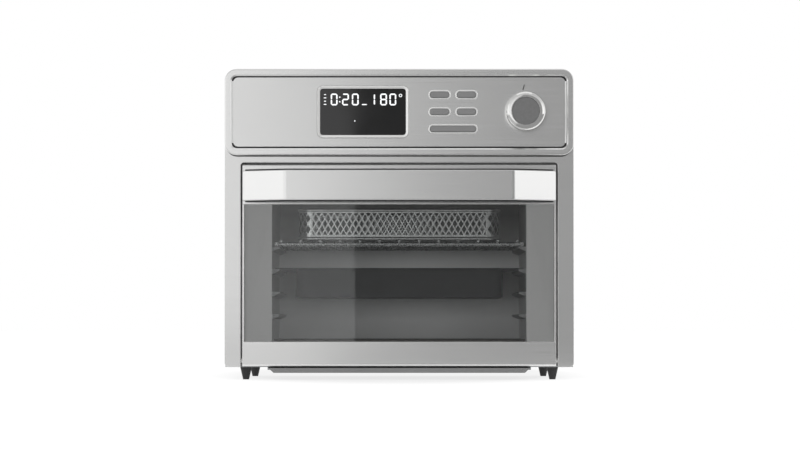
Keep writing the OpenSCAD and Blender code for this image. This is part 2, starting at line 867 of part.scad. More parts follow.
// The dial's hollow ring with its hub, turned about its own axis
module dial_knob() {
    r0 = dial_d / 2;
    r1 = dial_front_d / 2;
    cap_r = dial_cap_d / 2 + seat_gap;
    edge = r1 - cap_r - dial_gap;
    hub_r = shaft_d / 2 + dial_wall;
    roof = dial_h - dial_cap_t - dial_wall;
    color("silver") translate([dial_x, y_panel - dial_gap, control_z]) rotate([90, 0, 0])
        rotate_extrude() difference() {
            union() {
                polygon([[0, 0], [r0, 0], [r1, dial_h - edge], [0, dial_h - edge]]);
                square([r1 - edge, dial_h]);
                translate([r1 - edge, dial_h - edge]) circle(edge);
            }
            translate([0, dial_h - dial_cap_t]) square([cap_r, dial_h]);
            translate([hub_r, -over]) square([r1 - dial_wall - hub_r, roof + over]);
            translate([0, -over]) square([shaft_d / 2 + pin_gap, dial_h / 2 + over + pin_gap]);
        }
}

module dial_cap() {
    crown = dial_cap_t / 4;
    color("slategray") translate([dial_x, y_panel - dial_gap - dial_h + dial_cap_t, control_z])
        rotate([90, 0, 0]) rotate_extrude()
            polygon([[0, 0], [dial_cap_d / 2, 0], [dial_cap_d / 2, dial_cap_t - 2 * crown],
                [dial_cap_d / 2 - crown, dial_cap_t - crown], [0, dial_cap_t - crown]]);
}

// Cavity

// One side wall with its ledges: flip is 0 on the right and 1 on the left
module cavity_side(flip) {
    wall = [cavity_half, cavity_half + sheet_t];
    color("lightgray") mirror([flip, 0, 0]) difference() {
        union() {
            block(wall, [y_cavity, y_wall], [base_top, roof_z]);
            for (z = ledge_tops)
                plate_y(y_cavity + ledge_end, y_wall - ledge_end)
                    polygon([[cavity_half + sheet_t / 2, z], [cavity_half - ledge_w, z],
                        [cavity_half - ledge_w, z - ledge_t],
                        [cavity_half + sheet_t / 2, z - ledge_root]]);
        }
        for (y = rod_ys) rod_x(wall + [-over, over], y, rod_z, heater_r + seat_gap);
    }
}

module cavity_roof() {
    half = cavity_half + sheet_t;
    color("lightgray") difference() {
        block([-half, half], [y_cavity, y_wall], [roof_z, roof_top]);
        translate([0, y_fan, roof_z - over]) cylinder(r = drum_r, h = sheet_t + 2 * over);
        ring_ends() translate([0, 0, roof_z - over])
            cylinder(r = heater_r + seat_gap, h = sheet_t + 2 * over);
    }
}

module cavity_back() {
    half = cavity_half + sheet_t;
    color("lightgray") difference() {
        block([-half, half], [y_wall, y_wall + sheet_t], [base_top, roof_top]);
        rod_y(sensor_x, [y_wall - over, y_wall + sheet_t + over], sensor_z,
            sensor_d / 2 + seat_gap);
    }
}

// Fan

module fan_guard() {
    inner = motor_shaft_d;
    middle = guard_r / 2;
    outer = drum_r - guard_slot_w / 2;
    color("gray") difference() {
        translate([0, y_fan, roof_z - sheet_t]) cylinder(r = guard_r, h = sheet_t);
        for (i = [0 : guard_slots - 1])
            translate([0, y_fan, roof_z - sheet_t - over]) rotate(i * 360 / guard_slots) {
                block([middle + guard_slot_w / 2, outer], [-guard_slot_w, guard_slot_w] / 2,
                    [0, sheet_t + 2 * over]);
                if (i % 2 == 0)
                    block([2 * inner + guard_slot_w, middle - guard_slot_w / 2],
                        [-guard_slot_w, guard_slot_w] / 2, [0, sheet_t + 2 * over]);
            }
    }
}

module fan_housing() {
    color("silver") translate([0, y_fan, roof_top]) rotate_extrude() {
        translate([drum_r, 0]) square([sheet_t + drum_flange, sheet_t]);
        translate([drum_r, 0]) square([sheet_t, drum_h]);
        translate([motor_shaft_r + pass_gap, drum_h - sheet_t])
            square([drum_r + sheet_t - motor_shaft_r - pass_gap, sheet_t]);
    }
}

module motor_bracket() {
    top = drum_top + bracket_h;
    color("silver") translate([0, y_fan, 0]) difference() {
        union() {
            block([-bracket_half, bracket_half], [-motor_r, motor_r], [top, top + bracket_t]);
            for (sx = [-1, 1], sy = [-1, 1])
                translate([sx * (bracket_half - bracket_leg_d), sy * (motor_r - bracket_leg_d),
                    drum_top]) cylinder(d = bracket_leg_d, h = bracket_h + bracket_t / 2);
        }
        translate([0, 0, top - over])
            cylinder(r = motor_shaft_r + pass_gap, h = bracket_t + 2 * over);
    }
}

module fan_motor() {
    neck = motor_h / 6;
    color("gray") translate([0, y_fan, motor_z]) rotate_extrude() difference() {
        union() {
            square([motor_r, motor_h - neck]);
            square([motor_r / 2, motor_h]);
        }
        translate([0, -over]) square([motor_shaft_r + run_gap, motor_h + 2 * over]);
    }
}

module motor_shaft() {
    color("silver") translate([0, y_fan, blade_z])
        cylinder(r = motor_shaft_r, h = cooling_z + cooling_h - blade_z);
}

module fan_hub(h, r) {
    difference() {
        cylinder(r = r, h = h);
        translate([0, 0, -over]) cylinder(r = motor_shaft_r + pin_gap, h = h + 2 * over);
    }
}

module convection_fan() {
    color("silver") translate([0, y_fan, blade_z]) {
        fan_hub(blade_h, fan_hub_r);
        translate([0, 0, blade_h - blade_t]) difference() {
            cylinder(r = fan_r, h = blade_t);
            translate([0, 0, -over]) cylinder(r = fan_hub_r - blade_t, h = blade_t + 2 * over);
        }
        for (i = [0 : fan_blades - 1])
            rotate(i * 360 / fan_blades)
                block([blade_r0, fan_r - blade_t], [-blade_t, blade_t] / 2,
                    [0, blade_h - blade_t / 2]);
    }
}

module cooling_fan() {
    pitch = 35;
    color("dimgray") translate([0, y_fan, cooling_z]) {
        fan_hub(cooling_h, fan_hub_r);
        for (i = [0 : cooling_blades - 1])
            rotate(i * 360 / cooling_blades) translate([0, 0, cooling_h / 2]) rotate([pitch, 0, 0])
                block([fan_hub_r - blade_t, cooling_r], [-cooling_h, cooling_h] / 2,
                    [-blade_t, blade_t] / 2);
    }
}

// Heaters

// The two places where the ring heater's ends turn up through the roof
module ring_ends() {
    for (s = [-1, 1])
        translate([0, y_fan, 0]) rotate(90 + s * ring_open / 2) translate([ring_r, 0, 0]) children();
}

module ring_heater() {
    color("dimgray") {
        translate([0, y_fan, ring_z]) rotate([0, 0, 90 + ring_open / 2])
            rotate_extrude(angle = 360 - ring_open) translate([ring_r, 0]) circle(heater_r);
        ring_ends() translate([0, 0, ring_z]) sphere(heater_r + seat_gap);
        ring_ends() translate([0, 0, ring_z])
            cylinder(r = heater_r, h = ring_drop + sheet_t + terminal_l / 2);
    }
}

module rod_heaters() {
    reach = cavity_half + sheet_t + terminal_l / 2;
    color("dimgray") for (y = rod_ys) rod_x([-reach, reach], y, rod_z, heater_r);
}

module heater_terminals() {
    half = terminal_w / 2;
    x0 = cavity_half + sheet_t;
    color("ivory") {
        both_sides() for (y = rod_ys) difference() {
            block([x0, x0 + terminal_l], span(y, terminal_w), span(rod_z, terminal_w));
            rod_x([x0 - over, x0 + terminal_l / 2], y, rod_z, heater_r + pin_gap);
        }
        ring_ends() translate([0, 0, roof_top]) difference() {
            block([-half, half], [-half, half], [0, terminal_l]);
            translate([0, 0, -over])
                cylinder(r = heater_r + pin_gap, h = terminal_l / 2 + over + pin_gap);
        }
    }
}

module temperature_sensor() {
    y_seat = y_wall + sheet_t;
    color("silver") {
        rod_y(sensor_x, [y_wall - sensor_l, y_seat + over], sensor_z, sensor_d / 2);
        rod_y(sensor_x, [y_seat, y_seat + sensor_d], sensor_z, sensor_d);
    }
}

// A board on four bosses over the cavity's roof, with its relay, coil and capacitor
module power_board() {
    y0 = y_fan - power_l / 2;
    top = roof_top + boss_d;
    part = (power_x1 - power_x0) / 2;
    mid = (power_x0 + power_x1) / 2;
    color("darkgreen") {
        block([power_x0, power_x1], [y0, y0 + power_l], [top, top + board_t]);
        for (x = [power_x0 + boss_d, power_x1 - boss_d], y = [y0 + boss_d, y0 + power_l - boss_d])
            translate([x, y, roof_top]) cylinder(d = boss_d, h = boss_d + board_t / 2);
        block([mid - part / 2, mid + part / 2], [y0 + boss_d, y0 + boss_d + part],
            [top, top + part]);
        block([mid - part / 2, mid + part / 2], [y0 + 2 * boss_d + part, y0 + 2 * boss_d + 2 * part],
            [top, top + part / 2]);
        translate([mid, y0 + power_l - 2 * boss_d, top]) cylinder(r = boss_d, h = part);
    }
}

// Door

module hinge_brackets() {
    x0 = opening_half + sheet_t;
    color("gray") both_sides() difference() {
        block([x0, x0 + pin_out], [y_face + sheet_t, y_oven], [base_top, hinge_z + bracket_w]);
        rod_x([x0 - over, x0 + pin_out + over], hinge_y, hinge_z, pin_d / 2 + run_gap);
    }
}

module hinge_pins() {
    color("silver") both_sides()
        rod_x([door_half - pin_in, door_half + pin_reach], hinge_y, hinge_z, pin_d / 2);
}

// An outline in Y and Z from the door's front, made solid between x0 and x1
module rail(x0, x1) {
    translate([x0, y_face, 0]) rotate([90, 0, 90]) linear_extrude(x1 - x0) children();
}

module door_top_rail() {
    depth = door_t - sheet_t;
    color("silver") difference() {
        rail(-door_half, door_half) {
            translate([0, rail_low]) square([depth, top_rail_h - rail_r]);
            translate([rail_r, rail_low]) square([depth - rail_r, top_rail_h]);
            translate([rail_r, door_top - rail_r]) circle(rail_r);
        }
        block([-door_half + sheet_t, door_half - sheet_t],
            [y_face + sheet_t, y_face + door_t], [rail_low - over, door_top - rail_r]);
        block([-door_half + sheet_t, door_half - sheet_t],
            [y_face + rail_r, y_face + door_t], [rail_low, door_top - sheet_t]);
        handle_screw_places() rod_y(0, [y_face - over, y_glass + over], 0,
            screw_d / 2 + seat_gap);
    }
}

module door_bottom_rail() {
    end = pin_in / 2;
    color("silver") difference() {
        union() {
            difference() {
                rail(-door_half, door_half) {
                    translate([0, door_bot + rail_r])
                        square([bottom_rail_d, bottom_rail_h - rail_r]);
                    translate([rail_r, door_bot]) square([bottom_rail_d - rail_r, bottom_rail_h]);
                    translate([rail_r, door_bot + rail_r]) circle(rail_r);
                }
                block([-door_half + end, door_half - end],
                    [y_face + rail_r, y_face + door_t],
                    [door_bot + sheet_t, rail_high + over]);
                block([-door_half + sheet_t, door_half - sheet_t],
                    [y_glass, y_face + door_t], [inner_low - slide_gap, rail_high + over]);
            }
            both_sides()
                rod_x([door_half - pin_in, door_half - end / 2], hinge_y, hinge_z, pin_boss_d / 2);
        }
        both_sides()
            rod_x([door_half - pin_in - over, door_half + over], hinge_y, hinge_z,
                pin_d / 2 + pin_gap);
    }
}

module door_side_trims() {
    color("silver") both_sides() {
        block([door_half - trim_w, door_half], [y_face, y_glass], [rail_high, rail_low]);
        block([door_half - sheet_t, door_half], [y_face, y_face + door_t - sheet_t],
            [rail_high, rail_low]);
    }
}

module door_glass() {
    color("#40444a", 0.6) block([-inner_half, inner_half], [y_glass, y_inner],
        [rail_high - glass_lap, rail_low + glass_lap]);
}

module door_inner_frame() {
    seat = y_door_back - inner_glass_t;
    wall = window_half + sheet_t;
    color("gainsboro") difference() {
        block([-inner_half, inner_half], [y_inner, y_door_back], [inner_low, inner_top]);
        block([-window_half, window_half], [y_inner - over, y_door_back + over],
            [window_low, window_high]);
        difference() {
            block([-inner_half + sheet_t, inner_half - sheet_t],
                [y_inner + sheet_t, y_door_back + over], [inner_low + sheet_t, inner_top - sheet_t]);
            block([-wall, wall], [y_inner, seat], [window_low - sheet_t, window_high + sheet_t]);
        }
    }
}

module door_inner_glass() {
    half = window_half + inner_lap;
    color("#8090a0", 0.4) block([-half, half], [y_door_back - inner_glass_t, y_door_back],
        [max(window_low - inner_lap, inner_low + sheet_t + slide_gap), window_high + inner_lap]);
}

// The handle's outline from above, from the left foot to the middle: side is 1 on the outside of
// the bends and -1 on the inside
function arc(c, r, a0, a1) = [for (i = [0 : bend_steps])
    c + r * [cos(a0 + (a1 - a0) * i / bend_steps), sin(a0 + (a1 - a0) * i / bend_steps)]];
function handle_edge(side) = concat(
    [[-hem_x + handle_foot, (side - 1) * handle_t / 2]],
    arc(hem_centre, handle_hem + side * handle_t / 2, 90, 270 - handle_slope),
    arc(bend_centre, handle_r + side * handle_t / 2, 270 - handle_slope, 270));

// The liner's outline from above, from the left to the middle, at a depth behind the middle of
// the strip
function liner_edge(depth) = concat(
    [hem_centre + liner_t / 2 * slope_on + (depth - handle_hem) * slope_back],
    arc(bend_centre, handle_r - depth, 270 - handle_slope, 270));
function reversed(points) = [for (i = [len(points) - 1 : -1 : 0]) points[i]];
function mirrored(points) = [for (p = reversed(points)) [-p[0], p[1]]];
function strip_outline(outside, inside) = concat(outside, mirrored(outside),
    reversed(concat(inside, mirrored(inside))));

module handle_screw_places() {
    for (sx = [-1, 1], sz = [-1, 1])
        translate([sx * handle_screw_x, 0, handle_low + handle_h / 2
            + sz * (handle_h / 2 - handle_screw_end)]) children();
}

module door_handle() {
    color("silver") difference() {
        translate([0, y_face, handle_low]) linear_extrude(handle_h)
            polygon(strip_outline(handle_edge(1), handle_edge(-1)));
        handle_screw_places() rod_y(0, [y_face - handle_t + sheet_t / 2, y_face + over], 0,
            screw_d / 2 + pin_gap);
    }
}

module handle_liner() {
    depth = handle_t / 2 + seat_gap;
    color("#202020") translate([0, y_face, handle_low - liner_out])
        linear_extrude(handle_h + 2 * liner_out)
            polygon(strip_outline(liner_edge(depth), liner_edge(depth + liner_t)));
}

module handle_screws() {
    color("gray") handle_screw_places() {
        rod_y(0, [y_face - handle_t + sheet_t, y_glass + over], 0, screw_d / 2);
        rod_y(0, [y_glass, y_glass + screw_d / 2], 0, screw_head_r);
    }
}

// Rack, basket and trays

module wire_rack() {
    span = 2 * (rack_half - rack_wire_d);
    color("silver") {
        for (s = [-1, 1]) rod_y(s * rack_half, [rack_y0, rack_y1], rack_z, rack_r);
        for (y = [rack_y0 + rack_wire_d, (rack_y0 + rack_y1) / 2, rack_y1 - rack_wire_d])
            rod_x([-rack_half, rack_half], y, rack_z, cross_r);
        for (i = [0 : rack_bars - 1])
            rod_y(-span / 2 + i * span / (rack_bars - 1), [rack_y0 + bar_r, rack_y1 - bar_r], bar_z,
                bar_r);
    }
}

// A loop of wire around the basket, with round corners
module basket_loop(z, r) {
    half = basket_w / 2 - r;
    turn = basket_corner - r;
    ys = [basket_y0 + r, basket_y0 + basket_d - r];
    straight = half - turn + weld / 2;
    for (y = ys) rod_x([-straight, straight], y, z, r - seat_gap);
    for (s = [-1, 1])
        rod_y(s * half, [ys[0] + turn - weld / 2, ys[1] - turn + weld / 2], z, r - seat_gap);
    basket_corners(half - turn, ys[0] + turn, ys[1] - turn) translate([0, 0, z])
        rotate_extrude(angle = 90) translate([turn, 0]) circle(r);
}

// One corner made four times, about upright axes at the given places
module basket_corners(x, y0, y1) {
    for (c = [[x, y1, 0], [-x, y1, 90], [-x, y0, 180], [x, y0, 270]])
        translate([c[0], c[1], 0]) rotate([0, 0, c[2]]) children();
}

module basket_frame() {
    color("silver") {
        basket_loop(basket_z, basket_r);
        basket_loop(basket_rim_z, basket_r);
    }
}

// Half the width and height of a diamond gap, for gaps that lie pitch_x apart in a row and
// rows pitch_z apart
function diamond_half(pitch_x, pitch_z) = [pitch_x / 2, pitch_z]
    * (1 - mesh_strand * norm([pitch_x / 2, pitch_z]) / pitch_x / pitch_z);

module diamond(half) {
    polygon([[-half[0], 0], [0, -half[1]], [half[0], 0], [0, half[1]]]);
}

// A flat sheet of expanded mesh, w by h with corners of radius r, its diamonds cut off at a
// border
module diamond_mesh(w, h, r, cell_w, cell_h) {
    inner = [w - 2 * mesh_strand, h - 2 * mesh_strand];
    columns = round(inner[0] / cell_w);
    rows = 2 * round(inner[1] / cell_h);
    pitch = [inner[0] / columns, inner[1] / rows];
    half = diamond_half(pitch[0], pitch[1]);
    difference() {
        rounded(w, h, r);
        intersection() {
            rounded(inner[0], inner[1], r);
            for (j = [0 : rows]) for (i = [0 : columns - j % 2])
                translate([(i + j % 2 / 2) * pitch[0], j * pitch[1]] - inner / 2) diamond(half);
        }
    }
}

// A round corner of the wall, about the corner's upright axis
module corner_mesh(r, cell_w, cell_h) {
    inner = basket_h - 2 * mesh_strand;
    columns = round(r * PI / 2 / cell_w);
    rows = 2 * round(inner / cell_h);
    pitch = [r * PI / 2 / columns, inner / rows];
    half = diamond_half(pitch[0], pitch[1]);
    difference() {
        rotate_extrude(angle = 90) translate([r - mesh_t, 0]) square([mesh_t, basket_h]);
        for (j = [0 : rows]) for (i = [0 : columns - 1 - (j + 1) % 2])
            rotate([0, 0, (i + 1 - j % 2 / 2) * 90 / columns]) translate([r - 2 * mesh_t, 0, mesh_strand])
                rotate([90, 0, 90]) linear_extrude(3 * mesh_t) intersection() {
                    translate([-r, 0]) square([2 * r, inner]);
                    translate([0, j * pitch[1]]) diamond(half);
                }
    }
}

module basket_mesh() {
    low = mesh_z + mesh_t + seat_gap;
    half = basket_w / 2 - basket_r;
    turn = basket_corner - basket_r;
    y0 = basket_y0 + basket_r;
    y1 = basket_y0 + basket_d - basket_r;
    edge = mesh_strand / 2;
    color("silver") {
        translate([0, (y0 + y1) / 2, mesh_z]) linear_extrude(mesh_t)
            diamond_mesh(2 * half, y1 - y0, turn, floor_mesh_w, floor_mesh_h);
        for (y = [y0, y1 - mesh_t])
            plate_y(y, y + mesh_t) translate([0, low + basket_h / 2])
                diamond_mesh(2 * (half - turn - seat_gap), basket_h, edge, mesh_w, mesh_h);
        both_sides() translate([half - mesh_t, (y0 + y1) / 2, low + basket_h / 2])
            rotate([90, 0, 90]) linear_extrude(mesh_t)
                diamond_mesh(y1 - y0 - 2 * turn - 2 * seat_gap, basket_h, edge, mesh_w, mesh_h);
        basket_corners(half - turn, y0 + turn, y1 - turn) translate([0, 0, low])
            corner_mesh(turn, mesh_w, mesh_h);
    }
}

module baking_tray() {
    color("#3a3a3c") difference() {
        translate([0, pan_y, 0]) {
            translate([0, 0, pan_top - pan_h]) linear_extrude(pan_h)
                rounded(pan_w, pan_d, pan_r);
            translate([0, 0, pan_top - pan_t]) linear_extrude(pan_t)
                rounded(2 * pan_half, pan_d + 2 * pan_rim, pan_rim);
        }
        translate([0, pan_y, pan_top - pan_h + pan_t]) linear_extrude(pan_h)
            rounded(pan_w - 2 * pan_t, pan_d - 2 * pan_t, pan_r - pan_t);
    }
}

module tray_runners() {
    x0 = crumb_half + slide_gap;
    color("gray") both_sides() {
        block([x0, x0 + runner_t], [y_cavity, crumb_y1], [runner_top - runner_t, base_z]);
        block([x0 - runner_lip, x0 + runner_t], [y_cavity, crumb_y1],
            [runner_top - runner_t, runner_top]);
    }
}

module crumb_tray() {
    floor_half = crumb_wall - crumb_slope;
    low = crumb_low + crumb_t;
    color("dimgray") difference() {
        union() {
            plate_y(crumb_y0, crumb_y1)
                polygon([[-crumb_wall, crumb_top], [-floor_half, crumb_low],
                    [floor_half, crumb_low], [crumb_wall, crumb_top]]);
            block([-crumb_half, crumb_half], [crumb_y0, crumb_y1], [crumb_top - crumb_t, crumb_top]);
            plate_y(crumb_y0, crumb_y0 + crumb_t)
                polygon([[-crumb_half, crumb_top], [crumb_slope - crumb_half, crumb_low],
                    [crumb_half - crumb_slope, crumb_low], [crumb_half, crumb_top]]);
        }
        plate_y(crumb_y0 + crumb_t, crumb_y1 - crumb_t)
            polygon([[-crumb_wall + crumb_t, crumb_top + over], [-crumb_wall + crumb_t, crumb_top],
                [-floor_half + crumb_t, low], [floor_half - crumb_t, low],
                [crumb_wall - crumb_t, crumb_top], [crumb_wall - crumb_t, crumb_top + over]]);
    }
}

outer_wrap();
front_frame();
oven_face();
base_plate();
back_panel();
back_screws();
feet();
cord_gland();
control_bezel();
control_panel();
panel_carrier();
display_rim();
display_window();
display_module();
control_board();
push_switches();
dial_encoder();
dial_shaft();
dial_knob();
dial_cap();
push_button(button_w, -1, 0);  // button_top_left
push_button(button_w, 1, 0);  // button_top_right
push_button(button_w, -1, 1);  // button_middle_left
push_button(button_w, 1, 1);  // button_middle_right
push_button(button_wide, 0, 2);  // button_bottom
button_rims();
cavity_side(1);  // cavity_left
cavity_side(0);  // cavity_right
cavity_roof();
cavity_back();
fan_guard();
fan_housing();
motor_bracket();
fan_motor();
motor_shaft();
convection_fan();
cooling_fan();
ring_heater();
rod_heaters();
heater_terminals();
temperature_sensor();
power_board();
hinge_brackets();
hinge_pins();
door_top_rail();
door_bottom_rail();
door_side_trims();
door_glass();
door_inner_frame();
door_inner_glass();
door_handle();
handle_liner();
handle_screws();
wire_rack();
basket_frame();
basket_mesh();
baking_tray();
tray_runners();
crumb_tray();
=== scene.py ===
import math

import bmesh
import bpy
from mathutils import Matrix, Vector


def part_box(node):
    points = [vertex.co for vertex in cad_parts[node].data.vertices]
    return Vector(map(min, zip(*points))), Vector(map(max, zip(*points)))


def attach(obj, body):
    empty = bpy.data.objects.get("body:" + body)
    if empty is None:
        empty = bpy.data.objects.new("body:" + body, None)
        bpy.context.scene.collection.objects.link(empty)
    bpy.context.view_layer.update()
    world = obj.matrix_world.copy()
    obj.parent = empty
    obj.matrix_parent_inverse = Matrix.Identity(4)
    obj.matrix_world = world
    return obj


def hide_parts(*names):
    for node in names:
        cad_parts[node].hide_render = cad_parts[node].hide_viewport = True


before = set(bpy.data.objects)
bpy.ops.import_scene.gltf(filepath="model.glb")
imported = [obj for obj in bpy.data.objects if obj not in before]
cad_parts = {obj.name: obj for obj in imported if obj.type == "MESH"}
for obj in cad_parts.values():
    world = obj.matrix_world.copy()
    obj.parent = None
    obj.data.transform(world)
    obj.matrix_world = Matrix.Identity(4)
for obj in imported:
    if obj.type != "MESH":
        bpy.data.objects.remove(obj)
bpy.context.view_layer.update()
MM = 0.001

# Camera: a long lens low in front of the oven, level with the lower half of the door.
# It looks slightly up, so that the oven stands in the middle of the frame.
door_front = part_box("door_top_rail")[0].y
camera_focal_length = 164.9
camera_side = 0.9 * MM
camera_distance = 4.2
camera_height = 0.063
camera_tilt = math.radians(1.56)
camera_lens = bpy.data.cameras.new("camera")
camera_lens.lens = camera_focal_length
camera = bpy.data.objects.new("camera", camera_lens)
camera.location = (camera_side, door_front - camera_distance, camera_height)
camera.rotation_euler = (math.pi / 2 + camera_tilt, 0, 0)
bpy.context.scene.collection.objects.link(camera)
bpy.context.scene.camera = camera

# Casing wrap: one sheet of brushed stainless steel bent over both sides and the top, and hooked
# into the face frame. The brushing runs from front to back.
surface_grain = bpy.data.node_groups.new("surface_grain", "ShaderNodeTree")
surface_grain.interface.new_socket("Scale", in_out="INPUT", socket_type="NodeSocketVector")
surface_grain.interface.new_socket("Fine", in_out="OUTPUT", socket_type="NodeSocketFloat")
surface_grain.interface.new_socket("Broad", in_out="OUTPUT", socket_type="NodeSocketFloat")
grain_in = surface_grain.nodes.new("NodeGroupInput")
grain_out = surface_grain.nodes.new("NodeGroupOutput")
grain_place = surface_grain.nodes.new("ShaderNodeTexCoord")
grain_scale = surface_grain.nodes.new("ShaderNodeVectorMath")
grain_scale.operation = "MULTIPLY"
grain_fine = surface_grain.nodes.new("ShaderNodeTexNoise")
grain_fine.inputs["Scale"].default_value = 1.0
grain_fine.inputs["Detail"].default_value = 4.0
grain_fine.inputs["Roughness"].default_value = 0.6
grain_broad = surface_grain.nodes.new("ShaderNodeTexNoise")
grain_broad.inputs["Scale"].default_value = 7.0
grain_broad.inputs["Detail"].default_value = 2.0
surface_grain.links.new(grain_place.outputs["Object"], grain_scale.inputs[0])
surface_grain.links.new(grain_in.outputs["Scale"], grain_scale.inputs[1])
surface_grain.links.new(grain_scale.outputs["Vector"], grain_fine.inputs["Vector"])
surface_grain.links.new(grain_place.outputs["Object"], grain_broad.inputs["Vector"])
surface_grain.links.new(grain_fine.outputs["Fac"], grain_out.inputs["Fine"])
surface_grain.links.new(grain_broad.outputs["Fac"], grain_out.inputs["Broad"])
grain_low = 0.3
grain_high = 0.7
grain_depth = 0.2 * MM
edge_samples = 4


def surface_finish(name, grain, dark, light, roughness, metallic=0.0, relief=0.0, cloud=0.4, edge=0.4 * MM):
    """A finish with its own grain: colour from dark to light, roughness from low to high, soft edges.
    The cloud is the share of broad patches in its colour, and the edge is the edges' radius."""
    material = bpy.data.materials.new(name)
    material.use_nodes = True
    tree = material.node_tree
    shader = tree.nodes["Principled BSDF"]
    shader.inputs["Metallic"].default_value = metallic
    pattern = tree.nodes.new("ShaderNodeGroup")
    pattern.node_tree = surface_grain
    pattern.inputs["Scale"].default_value = grain
    blend = tree.nodes.new("ShaderNodeMix")
    blend.inputs["Factor"].default_value = cloud
    tree.links.new(pattern.outputs["Fine"], blend.inputs["A"])
    tree.links.new(pattern.outputs["Broad"], blend.inputs["B"])
    tone = tree.nodes.new("ShaderNodeValToRGB")
    tone.color_ramp.elements[0].position = grain_low
    tone.color_ramp.elements[0].color = (*dark, 1)
    tone.color_ramp.elements[1].position = grain_high
    tone.color_ramp.elements[1].color = (*light, 1)
    tree.links.new(blend.outputs["Result"], tone.inputs["Fac"])
    tree.links.new(tone.outputs["Color"], shader.inputs["Base Color"])
    polish = tree.nodes.new("ShaderNodeMapRange")
    polish.inputs["From Min"].default_value = grain_low
    polish.inputs["From Max"].default_value = grain_high
    polish.inputs["To Min"].default_value = roughness[0]
    polish.inputs["To Max"].default_value = roughness[1]
    tree.links.new(pattern.outputs["Fine"], polish.inputs["Value"])
    tree.links.new(polish.outputs["Result"], shader.inputs["Roughness"])
    soft_edge = tree.nodes.new("ShaderNodeBevel")
    soft_edge.samples = edge_samples
    soft_edge.inputs["Radius"].default_value = edge
    bump = tree.nodes.new("ShaderNodeBump")
    bump.inputs["Strength"].default_value = relief
    bump.inputs["Distance"].default_value = grain_depth
    tree.links.new(soft_edge.outputs["Normal"], bump.inputs["Normal"])
    tree.links.new(pattern.outputs["Fine"], bump.inputs["Height"])
    tree.links.new(bump.outputs["Normal"], shader.inputs["Normal"])
    return material


def give(material, *names):
    """Puts a finish on CAD nodes."""
    for name in names:
        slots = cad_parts[name].data.materials
        slots.clear()
        slots.append(material)


casing_steel = surface_finish("casing_steel", grain=(1500, 12, 1500), dark=(0.52, 0.52, 0.515),
                              light=(0.59, 0.59, 0.585), roughness=(0.26, 0.36), metallic=1.0, relief=0.02)
give(casing_steel, "outer_wrap")

# Base plate and the runners under it: zinc-plated steel sheet, folded and spot welded. The
# hinge brackets, fan housing and motor bracket are pressed from the same sheet.
zinc_sheet = surface_finish("zinc_sheet", grain=(160, 160, 160), dark=(0.36, 0.37, 0.38),
                            light=(0.52, 0.53, 0.54), roughness=(0.38, 0.55), metallic=1.0, relief=0.03)
give(zinc_sheet, "base_plate", "tray_runners", "hinge_brackets", "fan_housing", "motor_bracket")

# Back panel: a flat sheet of the casing's steel with rows of vents, screwed into the wrap. The
# screws have low flat heads with a cross recess. They, the pins and the shafts are turned steel.
back_steel = surface_finish("back_steel", grain=(14, 900, 900), dark=(0.55, 0.55, 0.54),
                            light=(0.64, 0.64, 0.63), roughness=(0.28, 0.38), metallic=1.0, relief=0.04)
give(back_steel, "back_panel")
turned_steel = surface_finish("turned_steel", grain=(1600, 1600, 1600), dark=(0.42, 0.42, 0.41),
                              light=(0.58, 0.58, 0.57), roughness=(0.22, 0.4), metallic=1.0, relief=0.05)
give(turned_steel, "back_screws", "handle_screws", "hinge_pins", "dial_shaft", "dial_encoder",
     "motor_shaft", "temperature_sensor")

# Feet: narrowed down to a small tip, moulded in black rubber and fixed under the base plate.
# The gland for the mains lead is a moulding of the same black, pushed into the back panel.
foot_rubber = surface_finish("foot_rubber", grain=(1400, 1400, 1400), dark=(0.012, 0.012, 0.012),
                             light=(0.03, 0.03, 0.03), roughness=(0.5, 0.7), relief=0.2)
give(foot_rubber, "feet", "cord_gland")

# Cavity: side walls with pressed ledges, a roof, a back and the oven face, of dull aluminised
# sheet, folded and spot welded. It turns darker from the rack up to the basket's rim, painted shade
# darkens it low down over the base, and painted shade darkens the ledges. The fan guard is punched
# from the same sheet.
# Darker from the rack up to the basket's rim, and a share of the tone above that
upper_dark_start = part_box("wire_rack")[1].z
upper_dark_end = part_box("basket_frame")[1].z
upper_dark_share = 0.35
# Painted shade: darker low down, from the tray's foot to a share of its tone at the base
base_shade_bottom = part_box("base_plate")[1].z
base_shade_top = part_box("baking_tray")[0].z
base_shade_share = 0.5
# Painted shade: the ledges are darker, so that they hide the light they catch
ledge_width = 9 * MM
ledge_shade_fade = 1.5 * MM
ledge_shade_share = 0.3


def cavity_finish(name):
    """Dull aluminised sheet."""
    return surface_finish(name, grain=(60, 60, 300), dark=(0.78, 0.78, 0.78), light=(0.88, 0.88, 0.88),
                          roughness=(0.42, 0.58), metallic=0.1, relief=0.04, cloud=0.6)


def darken(material, axis, start, end, share):
    """Darkens a finish along an axis, from its own tone at the start to a share of it at the end."""
    tree = material.node_tree
    colour = tree.nodes["Principled BSDF"].inputs["Base Color"]
    tone = colour.links[0].from_socket
    place = tree.nodes.new("ShaderNodeTexCoord")
    along = tree.nodes.new("ShaderNodeSeparateXYZ")
    reach = tree.nodes.new("ShaderNodeMapRange")
    reach.inputs["From Min"].default_value = start
    reach.inputs["From Max"].default_value = end
    reach.inputs["To Min"].default_value = 1.0
    reach.inputs["To Max"].default_value = share
    darker = tree.nodes.new("ShaderNodeVectorMath")
    darker.operation = "SCALE"
    tree.links.new(place.outputs["Object"], along.inputs["Vector"])
    tree.links.new(along.outputs[axis], reach.inputs["Value"])
    tree.links.new(tone, darker.inputs[0])
    tree.links.new(reach.outputs["Result"], darker.inputs["Scale"])
    tree.links.new(darker.outputs["Vector"], colour)


